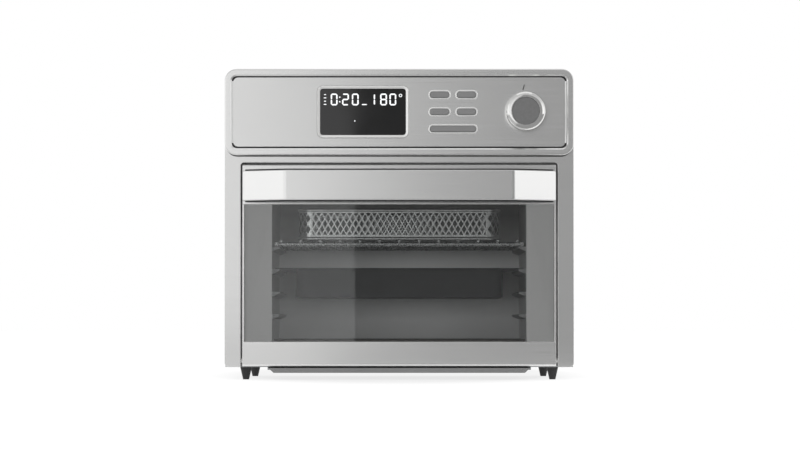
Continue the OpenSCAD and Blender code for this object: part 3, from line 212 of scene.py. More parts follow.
cavity_sheet = cavity_finish("cavity_sheet")
# Darker above the rack, and painted shade low down over the base
darken(cavity_sheet, "Z", upper_dark_start, upper_dark_end, upper_dark_share)
darken(cavity_sheet, "Z", base_shade_top, base_shade_bottom, base_shade_share)
give(cavity_sheet, "cavity_roof", "cavity_back", "oven_face", "fan_guard")
for wall_name, wall_side in (("cavity_left", 0), ("cavity_right", 1)):
    wall_sheet = cavity_finish(wall_name + "_sheet")
    ledge_way = 1 - 2 * wall_side
    ledge_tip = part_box(wall_name)[1 - wall_side].x
    ledge_root = ledge_tip - ledge_way * ledge_width
    # Painted shade over the ledge, from its root inwards
    darken(wall_sheet, "X", ledge_root, ledge_root + ledge_way * ledge_shade_fade, ledge_shade_share)
    give(wall_sheet, wall_name)

# Heaters: a ring under the roof and two rods over the base, in steel sheaths darkened by heat.
# Their ends sit in blocks of unglazed ceramic.
heater_sheath = surface_finish("heater_sheath", grain=(500, 500, 500), dark=(0.10, 0.095, 0.09),
                               light=(0.22, 0.205, 0.19), roughness=(0.4, 0.6), metallic=0.8, relief=0.08)
give(heater_sheath, "ring_heater", "rod_heaters")
ceramic = surface_finish("ceramic", grain=(700, 700, 700), dark=(0.74, 0.71, 0.63),
                         light=(0.84, 0.82, 0.75), roughness=(0.6, 0.8), relief=0.12)
give(ceramic, "heater_terminals")

# Fan: a pressed aluminium wheel on the shaft of a painted motor, which carries a smaller wheel
# above for its own cooling.
fan_metal = surface_finish("fan_metal", grain=(300, 300, 300), dark=(0.52, 0.52, 0.52),
                           light=(0.66, 0.66, 0.66), roughness=(0.3, 0.45), metallic=1.0, relief=0.04)
give(fan_metal, "convection_fan", "cooling_fan")
motor_paint = surface_finish("motor_paint", grain=(600, 600, 600), dark=(0.10, 0.105, 0.11),
                             light=(0.16, 0.165, 0.17), roughness=(0.4, 0.55), relief=0.1)
give(motor_paint, "fan_motor")

# Circuit boards: green resist over copper, held by the panel carrier and by bosses on the roof. The
# carrier, the switches and the display's module are moulded in black. The liner behind the handle is
# a black moulding too, and its black is painted shade for the shadow behind the handle.
board_resist = surface_finish("board_resist", grain=(500, 40, 500), dark=(0.01, 0.10, 0.035),
                              light=(0.03, 0.17, 0.06), roughness=(0.35, 0.5), relief=0.1)
give(board_resist, "control_board", "power_board")
black_moulding = surface_finish("black_moulding", grain=(900, 900, 900), dark=(0.008, 0.008, 0.0085),
                                light=(0.02, 0.02, 0.021), roughness=(0.55, 0.7), relief=0.1)
# The handle liner's black is painted shade behind the handle
give(black_moulding, "display_module", "push_switches", "panel_carrier", "handle_liner")

# Wire rack: two side rails, three cross wires and a row of thin bars, all nickel-plated and welded
# where they meet. It rests on the cavity's upper ledges and carries the basket.
wire_edge = 0.25 * MM
rack_wire = surface_finish("rack_wire", grain=(400, 400, 400), dark=(0.34, 0.34, 0.34),
                           light=(0.46, 0.46, 0.455), roughness=(0.2, 0.35), metallic=1.0, relief=0.02,
                           edge=wire_edge)
give(rack_wire, "wire_rack")

# Basket: two loops of bright wire, at its foot and its rim, with walls and a floor of expanded
# mesh welded to them. It stands on the rack.
basket_wire = surface_finish("basket_wire", grain=(400, 400, 400), dark=(0.6, 0.6, 0.59),
                             light=(0.74, 0.74, 0.73), roughness=(0.16, 0.28), metallic=1.0, relief=0.02,
                             edge=wire_edge)
give(basket_wire, "basket_frame", "basket_mesh")

# Baking tray: pressed steel with a dark non-stick coat, hung by its rim on the ledges. The crumb
# tray under the base is folded from coated sheet and slides in the runners.
tray_coat = surface_finish("tray_coat", grain=(900, 900, 900), dark=(0.006, 0.006, 0.0065),
                           light=(0.016, 0.016, 0.017), roughness=(0.54, 0.6))
give(tray_coat, "baking_tray")
crumb_coat = surface_finish("crumb_coat", grain=(1200, 1200, 1200), dark=(0.20, 0.20, 0.20),
                            light=(0.27, 0.27, 0.27), roughness=(0.4, 0.55), metallic=0.4, relief=0.1)
give(crumb_coat, "crumb_tray")

# Face frame: one pressing of stainless steel around the door and behind the head, brushed from
# side to side and hooked over the wrap. The control panel has the same brushing.
bend_edge = 1.1 * MM
front_steel = surface_finish("front_steel", grain=(10, 1700, 1700), dark=(0.75, 0.75, 0.745),
                             light=(0.79, 0.79, 0.785), roughness=(0.21, 0.27), metallic=1.0, relief=0.006,
                             edge=bend_edge)
give(front_steel, "front_frame", "control_panel")

# Head bezel: a deep frame pressed from stainless steel, rounded outside, with a shallow slope
# down to the panel, which it clamps. It is modelled from its outline inwards. A thin upright bead
# closes the panel at each end.
bezel_low, bezel_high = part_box("control_bezel")
bezel_corner = 14 * MM
bezel_corner_steps = 10
bezel_land = 6.6 * MM
bezel_slope = 1.6 * MM
bezel_slope_depth = 1.2 * MM
bezel_edge = 1.6 * MM
bezel_edge_steps = 6
bezel_bead = 1.1 * MM
bezel_bead_out = 0.6 * MM
bezel_bead_in = 9 * MM
bezel_soft_edge = 0.3 * MM
circle_steps = 20
weld_distance = 0.001 * MM
panel_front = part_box("control_panel")[0].y
bezel_steel = surface_finish("bezel_steel", grain=(10, 1700, 1700), dark=(0.79, 0.79, 0.785),
                             light=(0.83, 0.83, 0.825), roughness=(0.21, 0.27), metallic=1.0, relief=0.006,
                             edge=bezel_soft_edge)


def round_off(mesh, geometry, affect, radius, steps):
    """Rounds edges or corners, and returns the new vertices."""
    return bmesh.ops.bevel(mesh, geom=geometry, offset=radius, offset_type="OFFSET", affect=affect,
                           segments=steps, profile=0.5, material=-1)["verts"]


def round_plate(mesh, middle, width, height, radius, steps):
    """A flat plate with round corners that faces the front."""
    plate = bmesh.ops.create_grid(mesh, x_segments=1, y_segments=1, size=0.5)["verts"]
    bmesh.ops.scale(mesh, verts=plate, vec=(width, height, 1))
    bmesh.ops.rotate(mesh, verts=plate, matrix=Matrix.Rotation(math.pi / 2, 3, "X"))
    bmesh.ops.translate(mesh, verts=plate, vec=middle)
    plate_face = round_off(mesh, plate, "VERTICES", radius, steps)[0].link_faces[0]
    plate_face.normal_update()
    return plate_face


def step_in(mesh, face, width, height):
    """Draws a face in by a width and forward by a height."""
    bmesh.ops.inset_individual(mesh, faces=[face], thickness=width, depth=height, use_even_offset=True)


def pick(geometry, kind):
    """The vertices, edges or faces among what an operator returned."""
    return [item for item in geometry if isinstance(item, kind)]


def open_edges(mesh):
    """The edges that have a face on one side only."""
    return [edge for edge in mesh.edges if edge.is_boundary]


def draw_out(mesh, faces, step):
    """Draws flat faces along a step into closed solids, and returns the new faces."""
    drawn = bmesh.ops.extrude_face_region(mesh, geom=faces, use_keep_orig=True)["geom"]
    bmesh.ops.translate(mesh, verts=pick(drawn, bmesh.types.BMVert), vec=step)
    return pick(drawn, bmesh.types.BMFace)


def draw_wall(mesh, edges, step):
    """Draws edges along a step into a wall, and returns its far edges."""
    drawn = bmesh.ops.extrude_edge_only(mesh, edges=edges)["geom"]
    ends = pick(drawn, bmesh.types.BMVert)
    bmesh.ops.translate(mesh, verts=ends, vec=step)
    return [edge for edge in pick(drawn, bmesh.types.BMEdge) if all(v in ends for v in edge.verts)]


def make_object(mesh, name, material):
    """Turns a mesh with one finish into an object of the scene."""
    data = bpy.data.meshes.new(name)
    mesh.to_mesh(data)
    mesh.free()
    data.materials.append(material)
    made = bpy.data.objects.new(name, data)
    bpy.context.scene.collection.objects.link(made)
    return made


def finish_piece(mesh, name, material, body, smooth=35):
    """Turns a closed mesh into a piece that rides on a body, smooth up to an angle in degrees."""
    bmesh.ops.remove_doubles(mesh, verts=mesh.verts, dist=weld_distance)
    bmesh.ops.recalc_face_normals(mesh, faces=mesh.faces)
    piece = make_object(mesh, name, material)
    piece.data.shade_smooth()
    piece.data.set_sharp_from_angle(angle=math.radians(smooth))
    flats = piece.modifiers.new("flat_faces", "WEIGHTED_NORMAL")
    flats.keep_sharp = True
    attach(piece, body)
    return piece


bezel_mesh = bmesh.new()
bezel_middle = (bezel_low + bezel_high) / 2
bezel_middle.y = bezel_low.y
bezel_depth = bezel_high.y - bezel_low.y
bezel_width = bezel_high.x - bezel_low.x
bezel_height = bezel_high.z - bezel_low.z
bezel_face = round_plate(bezel_mesh, bezel_middle, bezel_width, bezel_height, bezel_corner,
                         bezel_corner_steps)
step_in(bezel_mesh, bezel_face, bezel_land, 0)
step_in(bezel_mesh, bezel_face, bezel_slope, -bezel_slope_depth)
bezel_outline = open_edges(bezel_mesh)
bezel_inside = list(bezel_face.edges)
bmesh.ops.delete(bezel_mesh, geom=[bezel_face], context="FACES_ONLY")
draw_wall(bezel_mesh, bezel_outline, (0, bezel_depth, 0))
draw_wall(bezel_mesh, bezel_inside, (0, bezel_depth - bezel_slope_depth, 0))
bmesh.ops.bridge_loops(bezel_mesh, edges=open_edges(bezel_mesh))
round_off(bezel_mesh, bezel_outline, "EDGES", bezel_edge, bezel_edge_steps)
bead_height = bezel_height - 2 * bezel_corner
for bead_side in (bezel_low.x + bezel_bead_in, bezel_high.x - bezel_bead_in):
    bead = bmesh.ops.create_circle(bezel_mesh, cap_ends=True, segments=circle_steps,
                                   radius=bezel_bead)["verts"]
    bmesh.ops.scale(bezel_mesh, verts=bead, vec=(1, bezel_bead_out / bezel_bead, 1))
    bmesh.ops.translate(bezel_mesh, verts=bead,
                        vec=(bead_side, panel_front, bezel_middle.z - bead_height / 2))
    draw_out(bezel_mesh, [bead[0].link_faces[0]], (0, 0, bead_height))
bezel = finish_piece(bezel_mesh, "head_bezel", bezel_steel, "oven", smooth=20)
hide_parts("control_bezel")

# Painted shade under the head: a flat ring in the feet's black rubber finish between the bezel
# and the face frame. Its lower edge is a dark line that stands in for the shadow under the head.
shade_ring_drop = 1.2 * MM
shade_ring_top_in = 1 * MM
shade_ring_sides_in = 1.4 * MM
shade_ring_band = 5 * MM
shade_ring_thick = 0.5 * MM
shade_ring_air = 0.02 * MM
shade_ring_low = bezel_low.z - shade_ring_drop
shade_ring_high = bezel_high.z - shade_ring_top_in
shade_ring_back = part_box("front_frame")[0].y - shade_ring_air
# Painted shade: a black ring whose lower edge draws the shadow under the head
shade_ring_mesh = bmesh.new()
shade_ring_face = round_plate(shade_ring_mesh, Vector((bezel_middle.x, shade_ring_back, (shade_ring_low + shade_ring_high) / 2)),
                        bezel_width - shade_ring_sides_in, shade_ring_high - shade_ring_low, bezel_corner, bezel_corner_steps)
step_in(shade_ring_mesh, shade_ring_face, shade_ring_band, 0)
bmesh.ops.delete(shade_ring_mesh, geom=[shade_ring_face], context="FACES_ONLY")
draw_out(shade_ring_mesh, list(shade_ring_mesh.faces), (0, -shade_ring_thick, 0))
finish_piece(shade_ring_mesh, "head_shade_ring", foot_rubber, "oven")

# Display: a glossy black window behind a bright moulded rim, both clipped into the panel. The
# figures are lit segments, made as thin plates on its face.
display_index = 1.6
display_gloss = surface_finish("display_gloss", grain=(30, 30, 30), dark=(0.002, 0.002, 0.0022),
                               light=(0.004, 0.004, 0.0043), roughness=(0.04, 0.07))
display_gloss.node_tree.nodes["Principled BSDF"].inputs["IOR"].default_value = display_index
give(display_gloss, "display_window")
rim_metal = surface_finish("rim_metal", grain=(700, 700, 700), dark=(0.80, 0.80, 0.79),
                           light=(0.88, 0.88, 0.87), roughness=(0.15, 0.25), metallic=0.5)
rim_low, rim_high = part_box("display_rim")
rim_corner = 6.4 * MM
rim_corner_steps = 8
rim_lip = 0.9 * MM
rim_slope = 2.1 * MM
rim_round = 0.35 * MM
rim_round_steps = 4
rim_slack = 0.01 * MM
rim_crease = math.radians(5)
display_low, display_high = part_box("display_window")
rim_mesh = bmesh.new()
rim_middle = (rim_low + rim_high) / 2
rim_middle.y = panel_front
rim_foot = round_plate(rim_mesh, rim_middle, rim_high.x - rim_low.x, rim_high.z - rim_low.z, rim_corner,
                       rim_corner_steps)
rim_face = draw_out(rim_mesh, [rim_foot], (0, rim_low.y - panel_front, 0))[0]
rim_face.normal_update()
step_in(rim_mesh, rim_face, rim_lip, 0)
step_in(rim_mesh, rim_face, rim_slope, rim_low.y - display_low.y)
rim_inside = list(rim_face.edges)
bmesh.ops.delete(rim_mesh, geom=[rim_foot, rim_face], context="FACES_ONLY")
draw_wall(rim_mesh, rim_inside, (0, panel_front - display_low.y, 0))
bmesh.ops.bridge_loops(rim_mesh, edges=open_edges(rim_mesh))
rim_top = [e for e in rim_mesh.edges if all(v.co.y < rim_low.y + rim_slack for v in e.verts)]
rim_crest = [e for e in rim_top if e.calc_face_angle() > rim_crease]
round_off(rim_mesh, rim_crest, "EDGES", rim_round, rim_round_steps)
display_rim = finish_piece(rim_mesh, "display_frame", rim_metal, "oven", smooth=30)
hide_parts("display_rim")
display_middle = (display_low + display_high) / 2
figure_height = 13.6 * MM
figure_width = 7.8 * MM
figure_stroke = 1.6 * MM
figure_depth = 0.08 * MM
figure_gap = 0.2 * MM
figure_rise = 14.2 * MM
figure_z = display_middle.z + figure_rise
figure_step = (figure_height - figure_stroke) / 2
figure_half = (figure_width - figure_stroke) / 2
figure_segments = {"0": "abcdef", "1": "bc", "2": "abged", "8": "abcdefg"}
# Each segment's place across and up in its figure, and whether it stands upright
segment_places = {"a": (0, figure_step, False), "b": (figure_half, figure_step / 2, True),
                  "c": (figure_half, -figure_step / 2, True), "d": (0, -figure_step, False),
                  "e": (-figure_half, -figure_step / 2, True), "f": (-figure_half, figure_step / 2, True),
                  "g": (0, 0, False)}
# Each figure's place across the window, from its middle, in millimetres
figure_places = (("0", -33.0), ("2", -20.0), ("0", -8.8), ("1", 10.0), ("8", 23.6), ("0", 34.2))
# Each small mark's place across and up from the middle of the figures, length and width, in millimetres
small_marks = ((-26.6, 2.6, 2.0, 1.6), (-26.6, -2.6, 2.0, 1.6), (1.6, -5.8, 6.0, 1.2),
               (-9.4, -24.6, 1.8, 1.8), (-43.4, 5.6, 2.6, 1.0), (-43.4, 1.8, 3.2, 1.0),
               (-43.4, -2.0, 2.6, 1.0), (-43.4, -5.6, 3.4, 1.0))
point_share = 0.49
point_steps = 1
degree_radius = 1.9 * MM
degree_stroke = 0.8 * MM
degree_side = 43 * MM
degree_rise = 4.6 * MM


def lit_bar(mesh, x, z, length, width, upright):
    """One pointed segment of a figure, as a flat face on the window."""
    sides = (width, length) if upright else (length, width)
    round_plate(mesh, Vector((x, display_low.y, z)), *sides, min(sides) * point_share, point_steps)


figure_mesh = bmesh.new()
for figure, offset in figure_places:
    for segment in figure_segments[figure]:
        dx, dz, upright = segment_places[segment]
        run = figure_step if upright else figure_width - figure_stroke
        lit_bar(figure_mesh, display_middle.x + offset * MM + dx, figure_z + dz, run - figure_gap,
                figure_stroke, upright)
for small_x, small_z, small_length, small_width in small_marks:
    lit_bar(figure_mesh, display_middle.x + small_x * MM, figure_z + small_z * MM, small_length * MM,
            small_width * MM, False)
degree = bmesh.ops.create_circle(figure_mesh, cap_ends=True, segments=circle_steps,
                                 radius=degree_radius)["verts"]
bmesh.ops.rotate(figure_mesh, verts=degree, matrix=Matrix.Rotation(math.pi / 2, 3, "X"))
bmesh.ops.translate(figure_mesh, verts=degree,
                    vec=(display_middle.x + degree_side, display_low.y, figure_z + degree_rise))
degree_face = degree[0].link_faces[0]
step_in(figure_mesh, degree_face, degree_stroke, 0)
bmesh.ops.delete(figure_mesh, geom=[degree_face], context="FACES_ONLY")
draw_out(figure_mesh, list(figure_mesh.faces), (0, -figure_depth, 0))
thin_edge = 0.05 * MM
lit_colour = (0.86, 0.88, 0.9, 1)
lit_strength = 0.55
lit_segment = surface_finish("lit_segment", grain=(400, 400, 400), dark=(0.70, 0.71, 0.72),
                             light=(0.82, 0.83, 0.84), roughness=(0.3, 0.4), edge=thin_edge)
lit_shader = lit_segment.node_tree.nodes["Principled BSDF"]
lit_shader.inputs["Emission Color"].default_value = lit_colour
lit_shader.inputs["Emission Strength"].default_value = lit_strength
finish_piece(figure_mesh, "display_figures", lit_segment, "oven")

# Buttons: moulded satin grey caps with rounded edges and faintly crowned faces, pushed in from
# behind. Each moves in a bright half-round rim that is snapped into the panel.
button_satin = surface_finish("button_satin", grain=(900, 900, 900), dark=(0.185, 0.185, 0.185),
                              light=(0.23, 0.23, 0.23), roughness=(0.35, 0.5), relief=0.06)
button_names = ("button_top_left", "button_top_right", "button_middle_left", "button_middle_right",
                "button_bottom")
button_corner = 2.8 * MM
button_corner_steps = 8
button_edge = 0.8 * MM
button_edge_steps = 5
button_crown = 0.15 * MM
crown_parts = 6
button_lip = 1.2 * MM
ring_width = 2.1 * MM
ring_height = 0.8 * MM
ring_gap = 0.15 * MM
ring_steps = 8


def half_round_ring(mesh, middle, width, height, radius):
    """A ring with round corners and a half-round section, closed underneath."""
    ring_face = round_plate(mesh, middle, width, height, radius, button_corner_steps)
    reached = 0
    for step in range(1, ring_steps + 1):
        arc = math.pi * step / ring_steps
        rise = ring_height * (math.sin(arc) - math.sin(arc - math.pi / ring_steps))
        across = ring_width * (1 - math.cos(arc)) / 2
        step_in(mesh, ring_face, across - reached, rise)
        reached = across
    bmesh.ops.delete(mesh, geom=[ring_face], context="FACES_ONLY")
    bmesh.ops.bridge_loops(mesh, edges=open_edges(mesh))


rings_mesh = bmesh.new()
for button_name in button_names:
    button_low, button_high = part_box(button_name)
    cap_width = button_high.x - button_low.x - 2 * button_lip
    cap_height = button_high.z - button_low.z - 2 * button_lip
    cap_middle = (button_low + button_high) / 2
    cap_middle.y = panel_front
    cap_rise = button_low.y - panel_front + button_edge + button_crown
    cap_mesh = bmesh.new()
    cap_foot = round_plate(cap_mesh, cap_middle, cap_width, cap_height, button_corner, button_corner_steps)
    cap_front = draw_out(cap_mesh, [cap_foot], (0, cap_rise, 0))[0]
    cap_front.normal_update()
    for step in range(button_edge_steps):
        last = math.pi / 2 * step / button_edge_steps
        now = math.pi / 2 * (step + 1) / button_edge_steps
        step_in(cap_mesh, cap_front, button_edge * (math.cos(last) - math.cos(now)),
                button_edge * (math.sin(now) - math.sin(last)))
    step_in(cap_mesh, cap_front, cap_height / crown_parts, button_crown)
    cap = finish_piece(cap_mesh, button_name + "_cap", button_satin, button_name, smooth=50)
    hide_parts(button_name)
    ring_out = 2 * (ring_width + ring_gap)
    half_round_ring(rings_mesh, cap_middle, cap_width + ring_out, cap_height + ring_out,
                    button_corner + ring_out / 2)
rings = finish_piece(rings_mesh, "button_rings", rim_metal, "oven", smooth=60)
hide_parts("button_rims")

# Dial: a chromed ring with a full round shoulder, and a flat turned cap let into it, pushed on
# its shaft. A dark line printed on the panel above marks where it points.
dial_low, dial_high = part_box("dial_knob")
dial_middle = (dial_low + dial_high) / 2
dial_polish = surface_finish("dial_polish", grain=(300, 300, 300), dark=(0.74, 0.74, 0.73),
                             light=(0.84, 0.84, 0.83), roughness=(0.08, 0.14), metallic=1.0)
dial_outer = (dial_high.x - dial_low.x) / 2
dial_draft = 1 * MM
dial_recess = 15.9 * MM
dial_recess_depth = 1.6 * MM
dial_length = dial_high.y - dial_low.y
dial_shoulder = 6.2 * MM
dial_shoulder_steps = 14
dial_steps = 96
dial_crest = (dial_outer - dial_draft, dial_length)
knob_profile = ((dial_recess, dial_length - dial_recess_depth), (dial_recess, dial_length), dial_crest,
                (dial_outer, 0), (dial_recess, 0))
knob_mesh = bmesh.new()
knob_points = [knob_mesh.verts.new((dial_middle.x + radius, dial_high.y - rise, dial_middle.z))
               for radius, rise in knob_profile]
knob_mesh.faces.new(knob_points)
knob_crest = knob_points[knob_profile.index(dial_crest)]
round_off(knob_mesh, [knob_crest], "VERTICES", dial_shoulder, dial_shoulder_steps)
bmesh.ops.delete(knob_mesh, geom=list(knob_mesh.faces), context="FACES_ONLY")
bmesh.ops.spin(knob_mesh, geom=list(knob_mesh.verts) + list(knob_mesh.edges), cent=dial_middle,
               axis=(0, 1, 0), dvec=(0, 0, 0), angle=2 * math.pi, steps=dial_steps, use_merge=True,
               use_duplicate=False)
knob = finish_piece(knob_mesh, "dial_ring", dial_polish, "dial", smooth=30)
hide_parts("dial_knob")
cap_ring_scale = 900
cap_ring_relief = 0.12
cap_ring_depth = 0.1 * MM
cap_turning = surface_finish("cap_turning", grain=(500, 500, 500), dark=(0.20, 0.20, 0.20),
                             light=(0.26, 0.26, 0.26), roughness=(0.35, 0.45), metallic=0.7)
cap_tree = cap_turning.node_tree
cap_place = cap_tree.nodes.new("ShaderNodeTexCoord")
cap_centre = cap_tree.nodes.new("ShaderNodeMapping")
cap_centre.inputs["Location"].default_value = (-dial_middle.x, 0, -dial_middle.z)
cap_rings = cap_tree.nodes.new("ShaderNodeTexWave")
cap_rings.wave_type = "RINGS"
cap_rings.rings_direction = "Y"
cap_rings.inputs["Scale"].default_value = cap_ring_scale
cap_bump = cap_tree.nodes.new("ShaderNodeBump")
cap_bump.inputs["Strength"].default_value = cap_ring_relief
cap_bump.inputs["Distance"].default_value = cap_ring_depth
cap_tree.links.new(cap_place.outputs["Object"], cap_centre.inputs["Vector"])
cap_tree.links.new(cap_centre.outputs["Vector"], cap_rings.inputs["Vector"])
cap_tree.links.new(cap_rings.outputs["Fac"], cap_bump.inputs["Height"])
cap_tree.links.new(cap_bump.outputs["Normal"], cap_tree.nodes["Principled BSDF"].inputs["Normal"])
give(cap_turning, "dial_cap")
mark_ink = surface_finish("mark_ink", grain=(800, 800, 800), dark=(0.03, 0.03, 0.03),
                          light=(0.06, 0.06, 0.06), roughness=(0.5, 0.6), edge=thin_edge)
mark_side = -1.9 * MM
mark_rise = 28.2 * MM
mark_width = 1.1 * MM
mark_length = 6.5 * MM
mark_corner = 0.4 * MM
mark_corner_steps = 3
mark_depth = 0.06 * MM
mark_lean = math.radians(16)
mark_middle = Vector((dial_middle.x + mark_side, panel_front, dial_middle.z + mark_rise))
mark_mesh = bmesh.new()
round_plate(mark_mesh, mark_middle, mark_width, mark_length, mark_corner, mark_corner_steps)
bmesh.ops.rotate(mark_mesh, verts=mark_mesh.verts, cent=mark_middle,
                 matrix=Matrix.Rotation(mark_lean, 3, "Y"))
draw_out(mark_mesh, list(mark_mesh.faces), (0, -mark_depth, 0))
finish_piece(mark_mesh, "dial_mark", mark_ink, "oven")

# Door rails and side trims: bent from stainless steel sheet brushed from side to side, and
# screwed to the door's inner frame, which is painted.
rail_steel = surface_finish("rail_steel", grain=(10, 1700, 1700), dark=(0.79, 0.79, 0.785),
                            light=(0.83, 0.83, 0.825), roughness=(0.19, 0.25), metallic=1.0, relief=0.006,
                            edge=bend_edge)
give(rail_steel, "door_top_rail", "door_bottom_rail", "door_side_trims")
door_paint = surface_finish("door_paint", grain=(500, 500, 500), dark=(0.73, 0.73, 0.725),
                            light=(0.79, 0.79, 0.785), roughness=(0.4, 0.5), relief=0.05)
give(door_paint, "door_inner_frame")

# Door glass: a tinted outer pane held between the rails and a clear inner pane on the frame,
# both of toughened sheet with polished faces.
glass_index = 1.36
glass_grain = (25, 25, 25)
glass_haze = 0.03


def window_glass(name, dark, light, shade):
    """Polished sheet glass that lets light through to what is behind it."""
    material = bpy.data.materials.new(name)
    material.use_nodes = True
    tree = material.node_tree
    shader = tree.nodes["Principled BSDF"]
    shader.inputs["Transmission Weight"].default_value = 1.0
    shader.inputs["IOR"].default_value = glass_index
    pattern = tree.nodes.new("ShaderNodeGroup")
    pattern.node_tree = surface_grain
    pattern.inputs["Scale"].default_value = glass_grain
    tone = tree.nodes.new("ShaderNodeValToRGB")
    tone.color_ramp.elements[0].color = (*dark, 1)
    tone.color_ramp.elements[1].color = (*light, 1)
    polish = tree.nodes.new("ShaderNodeMapRange")
    polish.inputs["To Min"].default_value = 0.0
    polish.inputs["To Max"].default_value = glass_haze
    through = tree.nodes.new("ShaderNodeBsdfTransparent")
    through.inputs["Color"].default_value = (*shade, 1)
    rays = tree.nodes.new("ShaderNodeLightPath")
    either = tree.nodes.new("ShaderNodeMixShader")
    tree.links.new(pattern.outputs["Broad"], tone.inputs["Fac"])
    tree.links.new(tone.outputs["Color"], shader.inputs["Base Color"])
    tree.links.new(pattern.outputs["Fine"], polish.inputs["Value"])
    tree.links.new(polish.outputs["Result"], shader.inputs["Roughness"])
    tree.links.new(rays.outputs["Is Shadow Ray"], either.inputs["Fac"])
    tree.links.new(shader.outputs["BSDF"], either.inputs[1])
    tree.links.new(through.outputs["BSDF"], either.inputs[2])
    tree.links.new(either.outputs["Shader"], tree.nodes["Material Output"].inputs["Surface"])
    return material


tinted_glass = window_glass("tinted_glass", dark=(0.84, 0.85, 0.85), light=(0.88, 0.89, 0.89),
                            shade=(0.95, 0.95, 0.95))
give(tinted_glass, "door_glass")
clear_glass = window_glass("clear_glass", dark=(0.95, 0.96, 0.96), light=(0.98, 0.98, 0.98),
                           shade=(0.97, 0.97, 0.97))
give(clear_glass, "door_inner_glass")

# Handle: one strip of stainless steel, its ends sloped back to the door and hemmed under into feet
# that are screwed on from inside. Its section is drawn from one foot to the middle and mirrored.
handle_low, handle_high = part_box("door_handle")
handle_thick = 2 * MM
handle_foot = 12 * MM
handle_hem = 2 * MM
handle_hem_steps = 12
handle_bend = 7 * MM
handle_bend_steps = 8
handle_slope = math.radians(29)
handle_edge = 0.95 * MM
handle_edge_steps = 4
handle_weld = 0.01 * MM
handle_middle = (handle_low + handle_high) / 2
hem_centre = Vector((handle_low.x + handle_hem + handle_thick / 2,
                     handle_high.y - handle_hem - handle_thick / 2, 0))
handle_fall = handle_high.y - handle_low.y - handle_thick - handle_hem - handle_bend
handle_fall += (handle_bend - handle_hem) * math.cos(handle_slope)
slope_run = handle_fall / math.sin(handle_slope)
slope_step = Vector((math.cos(handle_slope), -math.sin(handle_slope), 0)) * slope_run
slope_back = Vector((math.sin(handle_slope), math.cos(handle_slope), 0))
bend_centre = hem_centre + slope_step + slope_back * (handle_bend - handle_hem)


def turn(mesh, edges, centre, angle, steps):
    """Draws a section round an upright axis and returns its new edges."""
    ends = list({v for e in edges for v in e.verts})
    spun = bmesh.ops.spin(mesh, geom=ends + edges, cent=centre, axis=(0, 0, 1), dvec=(0, 0, 0),
                          angle=angle, steps=steps, use_duplicate=False)["geom_last"]
    return pick(spun, bmesh.types.BMEdge)


handle_mesh = bmesh.new()
section_face = round_plate(handle_mesh, Vector((0, 0, 0)), handle_thick, handle_high.z - handle_low.z,
                           handle_edge, handle_edge_steps)
section = list(section_face.edges)
bmesh.ops.rotate(handle_mesh, verts=handle_mesh.verts, matrix=Matrix.Rotation(math.pi / 2, 3, "Z"))
bmesh.ops.translate(handle_mesh, verts=handle_mesh.verts,
                    vec=(hem_centre.x + handle_foot, handle_high.y - handle_thick / 2, handle_middle.z))
section = draw_wall(handle_mesh, section, (-handle_foot, 0, 0))
section = turn(handle_mesh, section, hem_centre, math.pi - handle_slope, handle_hem_steps)
section = draw_wall(handle_mesh, section, slope_step)
section = turn(handle_mesh, section, bend_centre, handle_slope, handle_bend_steps)
draw_wall(handle_mesh, section, (-bend_centre.x, 0, 0))
handle_half = list(handle_mesh.verts) + list(handle_mesh.edges) + list(handle_mesh.faces)
bmesh.ops.mirror(handle_mesh, geom=handle_half, axis="X", merge_dist=handle_weld)
handle = finish_piece(handle_mesh, "handle_strip", rail_steel, "door", smooth=40)
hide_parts("door_handle")

# Floor: a sheet of pale paper that keeps the oven's soft shadow and runs out to white. Its glow is
# greyer in a long patch under and behind the oven, a painted shadow. Metal and glass see it as the
# camera does.
floor_half = 30
floor_plain_tone = 0.75
floor_shadow_tone = 0.2
# Painted shadow: the glow is greyer within a patch stretched far behind the oven
painted_shadow_back = 0.45
painted_shadow_squeeze = 0.25
painted_shadow_reach = 0.19
floor_white_reach = 0.25
painted_shadow_glow = 0.76
floor_white = 0.89


def grey(tone):
    """A plain grey of one tone."""
    return (tone, tone, tone, 1)


def seen_rays(tree):
    """1 for rays that show a background: from the camera, off metal and through glass."""
    rays = tree.nodes.new("ShaderNodeLightPath")
    mirrored = tree.nodes.new("ShaderNodeMath")
    mirrored.operation = "MAXIMUM"
    seen = tree.nodes.new("ShaderNodeMath")
    seen.operation = "MAXIMUM"
    tree.links.new(rays.outputs["Is Glossy Ray"], mirrored.inputs[0])
    tree.links.new(rays.outputs["Is Transmission Ray"], mirrored.inputs[1])
    tree.links.new(rays.outputs["Is Camera Ray"], seen.inputs[0])
    tree.links.new(mirrored.outputs["Value"], seen.inputs[1])
    return seen.outputs["Value"]


floor_paper = bpy.data.materials.new("floor_paper")
floor_paper.use_nodes = True
floor_tree = floor_paper.node_tree
floor_tree.nodes.remove(floor_tree.nodes["Principled BSDF"])
floor_matt = floor_tree.nodes.new("ShaderNodeBsdfDiffuse")
floor_matt.inputs["Color"].default_value = grey(floor_shadow_tone)
floor_glow = floor_tree.nodes.new("ShaderNodeEmission")
